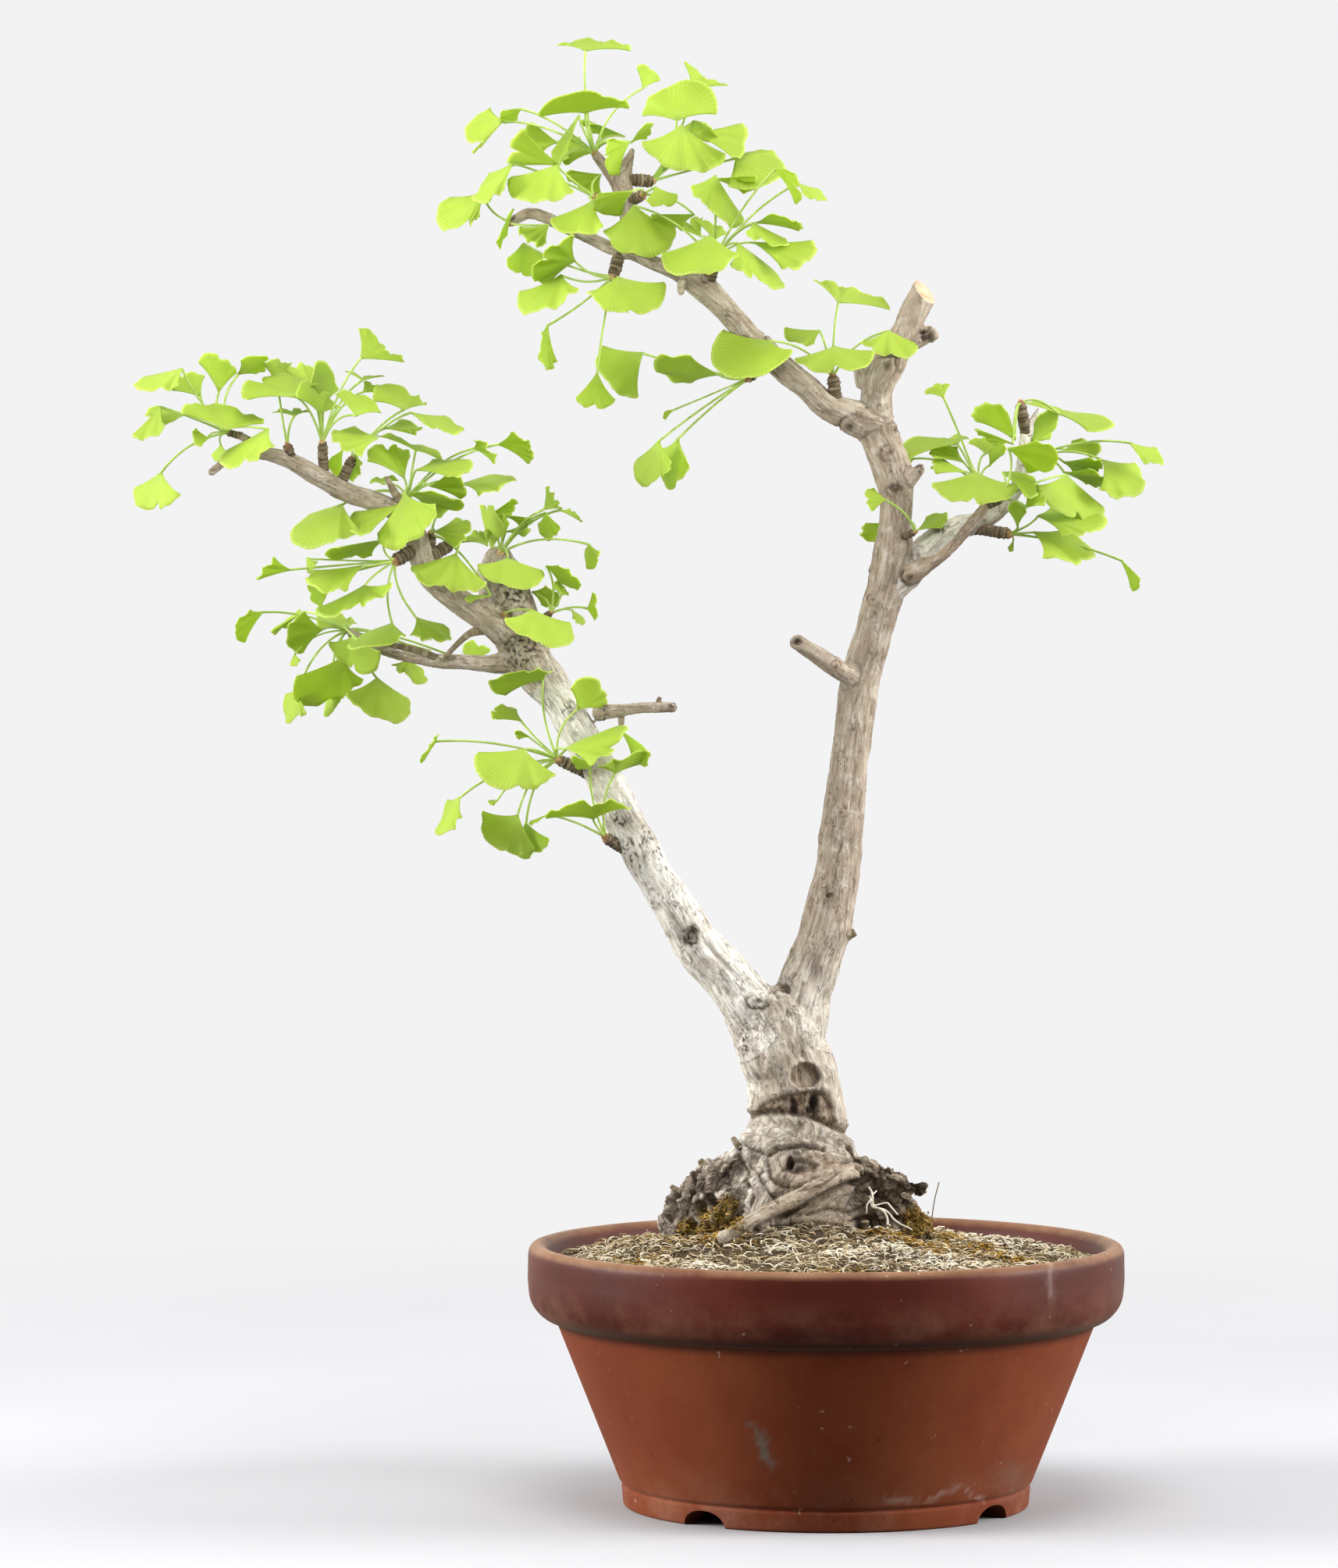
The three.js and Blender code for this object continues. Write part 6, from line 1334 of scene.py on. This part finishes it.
class GINKGO_OT_root_moss(bpy.types.Operator):
    """Grows moss on the old roots and hangs bleached root hairs from them"""

    bl_idname = "ginkgo.root_moss"
    bl_label = "Moss on the roots"

    def execute(self, context):
        wood = bpy.data.objects["ginkgo_wood"]
        spots = coordinates(wood)
        flat = elevation(spots)
        rng, mossy = random.Random(61), patch(ROOT_MOSS)
        points = []
        for spot, (x, z), vertex in zip(spots, flat, wood.data.vertices):
            here = mossy(x, z)
            if vertex.normal.y < 0.2 and here > 0.35 and rng.random() < here * 0.68:
                points.append(spot + np.array(vertex.normal) * rng.uniform(-0.1, 0.9))
        moss = mesh_object("root_moss", points, ())
        run_group(moss, strand_tree("root moss"), {
            "Strand length": 0.0026, "Strand radius": 0.0003, "Bend": 0.5, "Seed": 83, "Material": dried_moss(
                "moss on bark", ((0.0, "#4a3615"), (0.45, "#8c6b2b"), (0.8, "#b39044"), (1.0, "#ccae6a")))})
        seat(moss, "soil", "tree")
        lines, edges, thick = [], [], []
        for rows in HAIRS:
            centres, radii = smooth_limb(rows, 1.0)
            chain(lines, edges, [c + np.array(noise.noise_vector(Vector(c / 6))) * 2.4 for c in centres])
            thick.extend(radii)
        hairs = mesh_object("root_hairs", lines, (), edges)
        store(hairs, "thick", "FLOAT", thick)
        store(hairs, "strand_tone", "FLOAT", np.linspace(0.2, 1.0, len(lines)))
        skin = dried_moss("bleached root hairs", ((0.0, "#c9bfa8"), (1.0, "#efe9dc")))
        run_tubes(hairs, "root hairs", 6, skin)
        seat(hairs, "bark", "tree")
        return {"FINISHED"}


def shoot_row(name):
    """Foot and end of the shoot that a bunch of leaves springs from, and its radius."""
    if name in SHOOTS:
        row = SHOOTS[name]
        return row[:3], row[3:6], row[6]
    last = LIMBS[LIMB_ENDS[name]]
    return last[-2][:3], last[-1][:3], last[-1][3]


def shoot_end(name):
    """Foot, end and direction of a shoot, in space."""
    a, b = (carry(*spot) for spot in shoot_row(name)[:2])
    return a, b, unit(b - a)


class GINKGO_OT_spurs(bpy.types.Operator):
    """Sets the ridged short shoots and the thin dry twigs on the wood"""

    bl_idname = "ginkgo.spurs"
    bl_label = "Spurs and twigs"

    def execute(self, context):
        points, edges, thick, height = [], [], [], []
        rng = random.Random(5)
        for name, row in SHOOTS.items():
            a, b, way = shoot_end(name)
            start, end = a - way * 1.5, b + way * 1.2
            length = float(np.linalg.norm(end - start))
            steps = max(8, round(length / 0.42))
            beat = rng.uniform(1.9, 2.5)
            phase = rng.random()
            line = []
            for i in range(steps + 1):
                t = i / steps
                drift = 0.5 * noise.noise(Vector((t * 4, row[0] * 0.1, 0)))
                wave = (t * length / beat + phase + drift) % 1
                # Each year's ridge swells slowly and drops off sharply; some are worn away.
                swell = wave ** 1.4 * (0.65 + 0.9 * abs(noise.noise(Vector((t * 6, row[1] * 0.3, 2)))))
                taper = 1.0 if t < 0.93 else 0.85
                shift = Vector((t * 7, row[0], 5))
                line.append(start + (end - start) * t + np.array(noise.noise_vector(shift)) * 0.35)
                thick.append(row[6] * (1.0 + 0.24 * swell + 0.1 * noise.noise(shift * 3)) * taper)
                height.append(0.30 + 0.5 * swell + 0.4 * noise.noise(shift * 2))
            chain(points, edges, line)
        for rows in [LIMBS[name] for name in THIN] + list(NUBS):
            centres, radii = smooth_limb(rows, 1.0)
            chain(points, edges, centres)
            for centre, r in zip(centres, radii):
                wobble = noise.noise(Vector(centre / 1.9))
                thick.append(r * (1 + 0.16 * wobble))
                height.append(0.78 + 0.4 * wobble)
        spurs = mesh_object("short_shoots", points, (), edges)
        store(spurs, "thick", "FLOAT", thick)
        store(spurs, "ridge", "FLOAT", np.clip(height, 0, 1))
        run_tubes(spurs, "shoots", 14, spur_bark())
        seat(spurs, "bark", "tree")
        return {"FINISHED"}


# Rings of a bud's scales: how many, how far they lean out, how high they sit and how big they are.
BUD_RINGS = ((6, 0.42, -0.6, 1.0), (5, 0.25, 0.9, 0.85), (1, 0.0, 1.6, 0.9))


def scale_tree():
    """A pointed scale at each point, turned as its "facing" says and as big as its "size"."""
    tree, put, (points, length, skin) = node_group("bud scales", (
        ("Scale length", "Float"), ("Material", "Material")))
    ball = put("GeometryNodeMeshUVSphere", {"Segments": 8, "Rings": 5, "Radius": 0.001})
    wide, tall = (put(MATH, {0: length, 1: part}, **TIMES) for part in (350.0, 500.0))
    shape = put(COMBINE, {"X": wide, "Y": wide, "Z": tall})
    scale = put("GeometryNodeTransform", {"Geometry": ball, "Scale": shape})
    way = put(STORED, {"Name": "facing"}, data_type="FLOAT_VECTOR")
    turned = put("FunctionNodeAlignRotationToVector", {"Vector": way}, axis="Z")
    grown = put(STORED, {"Name": "size"}, data_type="FLOAT")
    placed = put(SET_OUT, {"Points": points, "Instance": scale, "Rotation": turned, "Scale": grown})
    put("NodeGroupOutput", {0: put(PAINT, {0: put(REAL, {0: placed}), "Material": skin})})
    return tree


class GINKGO_OT_buds(bpy.types.Operator):
    """Closes each shoot with a bud of overlapping scales"""

    bl_idname = "ginkgo.buds"
    bl_label = "Buds"

    def execute(self, context):
        points, facing, size = [], [], []
        rng = random.Random(9)
        for name in LEAVES:
            _, b, way = shoot_end(name)
            grown = shoot_row(name)[2] / 2.6
            left = unit(np.cross(way, (0.31, 0.93, 0.2)))
            up = np.cross(way, left)
            for ring, (count, lean, lift, scale) in enumerate(BUD_RINGS):
                for k in range(count):
                    w = math.tau * (k + 0.5 * ring) / count + rng.uniform(-0.2, 0.2)
                    out = left * math.cos(w) + up * math.sin(w)
                    points.append(b + way * (lift + 0.9) + out * lean * 2.6 * grown)
                    facing.append(unit(way + out * lean * 0.8))
                    size.append(scale * grown * rng.uniform(0.85, 1.1))
        buds = mesh_object("bud_scales", points, ())
        store(buds, "facing", "FLOAT_VECTOR", facing)
        store(buds, "size", "FLOAT", size)
        # Papery scales round a bud: tan to orange brown, a little shiny.
        papery = mottled("bud scales", (4, 3.0), ((0.32, "#6f4c30"), (0.5, "#a37a50"), (0.68, "#cdab7c")),
                         {"Roughness": 0.6}, (0.0004, 0.4))
        run_group(buds, scale_tree(), {"Scale length": 0.0036, "Material": papery})
        buds.data.shade_smooth()
        seat(buds, "bark", *("leaves_" + name for name in LEAVES))
        return {"FINISHED"}


# ---- foliage
TILTS, TURNS = np.meshgrid(np.radians(np.arange(0, 81, 5)), np.radians(np.arange(0, 180, 10)), indexing="ij")


def blade_slope(leaf):
    """Tilt of a blade's plane that gives its outline true lengths and a true spread."""
    p, q, m = np.array(leaf[2:8], float).reshape(3, 2)
    size = leaf[9] if len(leaf) > 9 else None
    best = None
    for long in ((size, size * 1.12) if size else [LEAF_R + more for more in (-4, -2, 0, 2, 4)]):
        s = np.tan(TILTS)
        u, v = s * np.cos(TURNS), s * np.sin(TURNS)
        lp, lq, lm = (np.sqrt(d @ d + (u * d[0] + v * d[1]) ** 2) / long for d in (p, q, m))
        dot = (p @ q + (u * p[0] + v * p[1]) * (u * q[0] + v * q[1])) / (lp * lq * long ** 2)
        spread = np.arccos(np.clip(dot, -1, 1))
        cost = ((lp - 1) ** 2 + (lq - 1) ** 2 + 1.2 * (lm - 0.95) ** 2 + 0.03 * (spread - 2.2) ** 2
                + 0.02 * (TILTS / math.radians(80)) ** 2 + 0.4 * (long / (size or LEAF_R) - 1) ** 2)
        at = np.unravel_index(np.argmin(np.round(cost, 9)), cost.shape)
        if best is None or cost[at] < best[0] - 1e-9:
            best = (cost[at], u[at], v[at])
    return best[1:]


def blade_frame(leaf, slope, at, flip, scale):
    """Stalk end and the three long veins of a blade, in space."""
    u, v = slope
    m = leaf[6:8]
    toward = -1 if u * m[0] + v * m[1] > 0 else 1
    sign = toward * (1 if m[1] < 2 else -1) * flip

    def spot(d):
        return carry(leaf[0] + scale * d[0], leaf[1] + scale * d[1], at + scale * sign * (u * d[0] + v * d[1]))

    base = spot((0, 0))
    return base, spot(leaf[2:4]) - base, spot(leaf[4:6]) - base, spot(m) - base


def seated_blade(leaf, tip, solid):
    """The blade's pose that matches the frame's own leaf: tries the depths that a leaf may take."""
    slope = blade_slope(leaf)
    room = math.sqrt(max(0.0, STALK_L ** 2 - math.dist(leaf[:2], tip[:2]) ** 2))
    own = tip[2] - leaf[8] * max(6.0, min(26.0, room))
    best = None
    for scale in (1, 0.85):
        for step in (0, 4, -4, 8, -8, 12, -12, 17, -17, 22, -22, 28, -28):
            for flip in (1, -1):
                pose = base, pv, qv, mv = blade_frame(leaf, slope, own + step, flip, scale)
                if solid is None:
                    return pose
                spots = metres([base + pv, base + qv, base + 0.6 * mv, base + 0.7 * pv, base + 0.7 * qv,
                                base + 0.3 * mv, base + 0.9 * mv])
                off = sum(min(0.006, solid.find_nearest(Vector(s))[3]) for s in spots)
                if best is None or off < best[0] - 1e-6:
                    best = (off, pose)
    return best[1]


def turn_between(a, b, t):
    """Direction t of the way from a to b on a circle, with its length between theirs."""
    la, lb = np.linalg.norm(a), np.linalg.norm(b)
    w = math.acos(max(-1, min(1, float(a @ b) / (la * lb))))
    if w < 1e-3:
        return a * (1 - t) + b * t
    way = (math.sin((1 - t) * w) * a / la + math.sin(t * w) * b / lb) / math.sin(w)
    return way * (la * (1 - t) + lb * t)


def fan_blade(frame_at, rng, look, small):
    """One fan leaf: points, faces, vein places. Its margin is waved and toothed and may be cleft."""
    base, pv, qv, mv = frame_at
    across, rows = (17, 8) if small else (35, 10)
    n = unit(np.cross(pv - qv, mv))
    n = -n if n[2] < 0 else n
    size = float(np.linalg.norm(mv))
    seed = rng.uniform(0, 50)
    wave = look.leaf_wave * 1000 * rng.uniform(0.7, 1.5) * min(1, size / 22)
    folds, phase = rng.choice((2.0, 2.5, 3.0, 3.5)), rng.uniform(0, math.tau)
    cleft = rng.choice((0.0, 0.0, 0.04, 0.08, 0.20)) * (0 if small else 1)
    cleft_at, cleft_w = rng.uniform(0.46, 0.54), rng.uniform(0.018, 0.035)
    cup = rng.uniform(-0.10, 0.10)
    thick = look.leaf_thickness * 1000
    grid = np.zeros((across, rows, 3))
    for i in range(across):
        a = i / (across - 1)
        spoke = turn_between(pv, mv, a * 2) if a <= 0.5 else turn_between(mv, qv, a * 2 - 1)
        tooth = 1 + 0.026 * noise.noise(Vector((a * 9, seed, 0)))
        tooth += 0.010 * noise.noise(Vector((a * 30, seed, 4)))
        tooth += 0.045 * math.sin(math.pi * a * 2) ** 2
        tooth -= cleft * math.exp(-((a - cleft_at) / cleft_w) ** 2)
        # The outer corners are rounded off.
        tooth -= 0.05 * (math.exp(-a / 0.02) + math.exp(-(1 - a) / 0.02))
        side = abs(2 * a - 1) ** 3
        for j in range(rows):
            v = (j / (rows - 1)) ** 0.85
            spot = spoke * v * (1 + (tooth - 1) * v ** 3) + mv * 0.28 * v * (1 - v) * side
            ripple = wave * (math.sin(folds * math.tau * a + phase) * v ** 2
                             + 0.45 * math.sin(folds * 2.3 * math.tau * a + seed) * v ** 5)
            bowl_in = cup * size * (v * v * 0.6 + (2 * a - 1) ** 2 * v * 0.5)
            droop = -0.05 * size * v ** 2
            grid[i, j] = base + spot + n * (ripple + bowl_in + droop * (1 if n[2] > 0.2 else 0.3))
    flat = grid.reshape(-1, 3)
    outward = np.tile(np.arange(rows) / (rows - 1), across)
    half = (thick * 0.5 + 0.30 * np.exp(-outward * 11))[:, None]
    gx = np.gradient(grid, axis=0).reshape(-1, 3)
    gy = np.gradient(grid, axis=1).reshape(-1, 3)
    normal = np.cross(gx, gy)
    long = np.linalg.norm(normal, axis=1)
    normal = normal * (1 if (normal @ n).sum() > 0 else -1)
    normal = np.where((long > 1e-6)[:, None], normal / np.maximum(long, 1e-9)[:, None], n)
    top, under = flat + normal * half, flat - normal * half
    count = across * rows
    sheet = grid_faces(across, rows, ringed=False)
    faces = [(a, d, c, b) for a, b, c, d in sheet] + [tuple(count + v for v in face) for face in sheet]
    rim = [i * rows + rows - 1 for i in range(across)]
    rim += [(across - 1) * rows + j for j in range(rows - 2, -1, -1)]
    rim += [i * rows for i in range(across - 2, -1, -1)] + list(range(1, rows - 1))
    for k, a in enumerate(rim):
        b = rim[(k + 1) % len(rim)]
        faces.append((a, b, count + b, count + a))
    uv = [(i / (across - 1), j / (rows - 1), seed) for i in range(across) for j in range(rows)]
    return np.concatenate((top, under)), faces, uv * 2


def stalk_line(bud, way, end):
    """Centres of a stalk from the shoot's end to the blade: out along the shoot, then over in one bow."""
    reach = float(np.linalg.norm(end - bud))
    bend = bud * 0.6 + end * 0.4 + way * min(7.0, reach * 0.25)
    bend[2] += reach * 0.07
    start = bud - way * 2.2
    steps = max(5, round(reach / 2.6))
    return [(1 - t) ** 2 * start + 2 * t * (1 - t) * bend + t * t * end
            for t in (k / steps for k in range(steps + 1))]


class GINKGO_OT_foliage(bpy.types.Operator):
    """Opens the fan leaves on their stalks, a bunch for each shoot"""

    bl_idname = "ginkgo.foliage"
    bl_label = "Leaves"

    def execute(self, context):
        look = context.scene.ginkgo
        tree = tube_tree("stalks")
        blade_skin = ginkgo_leaf(look)
        # Juicy young stalk: slender, satin green.
        stalk_skin = mottled("leaf stalk", (18, 2.0), ((0.35, "#94b04c"), (0.6, look.stalk)),
                             {"Roughness": 0.65, "Specular IOR Level": 0.25})
        for bunch, (name, rows) in enumerate(LEAVES.items()):
            _, b, way = shoot_end(name)
            bud = b + way * (BUD_R + GAP)
            tip = shoot_row(name)[1]
            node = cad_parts["leaves_" + name]
            solid = BVHTree.FromPolygons([v.co[:] for v in node.data.vertices],
                                         [tuple(p.vertices) for p in node.data.polygons])
            rng = random.Random(100 + bunch)
            points, faces, edges, blade, tone, thick = [], [], [], [], [], []
            leaves = [(leaf, solid, False) for leaf in rows]
            leaves += [(leaf, None, True) for leaf in TINY.get(name, ())]
            for index, (leaf, near, small) in enumerate(leaves):
                pose = seated_blade(leaf, tip, near)
                skin, shell, places = fan_blade(pose, rng, look, small)
                first = len(points)
                faces.extend(tuple(first + v for v in face) for face in shell)
                points.extend(skin)
                blade.extend(places)
                # The SHADED leaves get a dark tone as painted shade; the others a random tone of their own.
                shaded = 0.65 if index in SHADED.get(name, ()) else rng.uniform(0.0, 0.28)
                tone.extend([shaded] * len(skin))
                thick.extend([0.0] * len(skin))
                line = stalk_line(bud, way, pose[0] + unit(pose[3]) * 0.5)
                chain(points, edges, line)
                blade.extend([(0.5, 0.0, 0.0)] * len(line))
                tone.extend([0.0] * len(line))
                # A stalk is a little swollen at its foot and again where the blade joins it.
                t = np.linspace(0, 1, len(line))
                swollen = 1.25 - 0.35 * np.minimum(1, t * 4) + 0.6 * np.maximum(0, t - 0.8)
                thick.extend((0.50 if small else 0.64) * swollen)
            piece = mesh_object("foliage_" + name, points, faces, edges)
            store(piece, "blade", "FLOAT_VECTOR", blade)
            store(piece, "leaf_tone_and_shade", "FLOAT", tone)
            store(piece, "thick", "FLOAT", thick)
            run_group(piece, tree, {"Sides": 7, "Body material": blade_skin, "Tube material": stalk_skin})
            face_outward(piece)
            piece.data.shade_smooth()
            seat(piece, "leaf", "leaves_" + name)
        return {"FINISHED"}


# ---- stage
class GINKGO_OT_stage(bpy.types.Operator):
    """Lays the pale floor and sets the studio light and the camera"""

    bl_idname = "ginkgo.stage"
    bl_label = "Stage"

    def execute(self, context):
        scene = context.scene
        radii = (9000, 1500, 500, 200)
        points = [(r * c, r * s, 0) for r in radii for _, c, s in around(FLOOR_SIDES)]
        inner, middle = (len(radii) - 1) * FLOOR_SIDES, len(points)
        faces = grid_faces(len(radii), FLOOR_SIDES)
        faces += [(inner + k, inner + (k + 1) % FLOOR_SIDES, middle) for k in range(FLOOR_SIDES)]
        floor = mesh_object("studio_sweep", points + [(0, 0, 0)], faces)
        floor.data.materials.append(studio_floor())

        world = bpy.data.worlds.new("soft studio light")
        world.use_nodes = True
        world.node_tree.nodes.clear()
        put = functools.partial(add, world.node_tree)
        # The room is pale all round; its light falls off toward the viewer, so that the bowl's face shades.
        way = put("ShaderNodeSeparateXYZ", {0: put(COORDS).outputs["Generated"]}).outputs["Y"]
        front = put(RANGE, dict(enumerate((way, 0.05, -0.70, 1.2, 0.09))))
        room, seen = (put("ShaderNodeBackground", {0: tint, 1: power}) for tint, power in (
            ("#f3f3f5", front), ("#f3f3f4", 1.0)))
        eye = put("ShaderNodeLightPath").outputs["Is Camera Ray"]
        put("ShaderNodeOutputWorld", {0: put("ShaderNodeMixShader", {0: eye, 1: room, 2: seen})})
        scene.world = world
        for name, place, aim, size, power in (
            ("left softbox", (-2.64, -0.24, 1.12), (-0.05, 0, 0.35), 1.4, 104),
            ("right softbox", (2.66, -0.28, 1.12), (0.0, 0, 0.35), 1.4, 90),
            ("top softbox", (0.02, -0.98, 2.42), (-0.05, 0, 0.60), 1.4, 34),
            ("gridded front softbox", (-0.15, -2.0, 0.75), (-0.08, 0, 0.60), 0.5, 0.62),
        ):
            lamp = bpy.data.lights.new(name, "AREA")
            lamp.shape, lamp.size, lamp.energy = "DISK", size, power
            # The front one's grid keeps its light on the foliage and off the bowl.
            lamp.spread = math.radians(24) if "gridded" in name else math.pi
            made = bpy.data.objects.new(name, lamp)
            made.location = place
            made.rotation_euler = (Vector(aim) - Vector(place)).to_track_quat("-Z", "Y").to_euler()
            scene.collection.objects.link(made)

        lens = bpy.data.cameras.new("camera")
        lens.lens, lens.clip_start, lens.clip_end = 132.28, 0.1, 60.0
        camera = bpy.data.objects.new("camera", lens)
        camera.location = metres(VIEW)
        camera.rotation_euler = (math.radians(90) - 0.0201, 0.0, 0.0)
        scene.collection.objects.link(camera)
        scene.camera = camera
        scene.view_settings.view_transform = "Standard"
        return {"FINISHED"}


# ---- panel and run
STEPS = (
    GINKGO_OT_stage, GINKGO_OT_bowl, GINKGO_OT_screen, GINKGO_OT_soil, GINKGO_OT_dressing, GINKGO_OT_wood,
    GINKGO_OT_root_moss, GINKGO_OT_spurs, GINKGO_OT_buds, GINKGO_OT_foliage,
)


class GINKGO_PT_panel(bpy.types.Panel):
    """Lists the bonsai's pieces in the order they are made"""

    bl_idname = "GINKGO_PT_panel"
    bl_label = "Ginkgo Bonsai"
    bl_space_type = "VIEW_3D"
    bl_region_type = "UI"
    bl_category = "Ginkgo"

    def draw(self, context):
        column = self.layout.column()
        for step in STEPS:
            column.operator(step.bl_idname)
        for name in GinkgoSettings.__annotations__:
            column.prop(context.scene.ginkgo, name)


def register():
    bpy.utils.register_class(GinkgoSettings)
    bpy.types.Scene.ginkgo = PointerProperty(type=GinkgoSettings)
    for step in STEPS:
        bpy.utils.register_class(step)
    bpy.utils.register_class(GINKGO_PT_panel)


def unregister():
    bpy.utils.unregister_class(GINKGO_PT_panel)
    for step in reversed(STEPS):
        bpy.utils.unregister_class(step)
    del bpy.types.Scene.ginkgo
    bpy.utils.unregister_class(GinkgoSettings)


def main():
    register()
    for step in STEPS:
        group, call = step.bl_idname.split(".")
        result = getattr(getattr(bpy.ops, group), call)()
        if result != {"FINISHED"}:
            raise RuntimeError(f"{step.bl_label} did not finish")


if __name__ == "__main__":
    main()
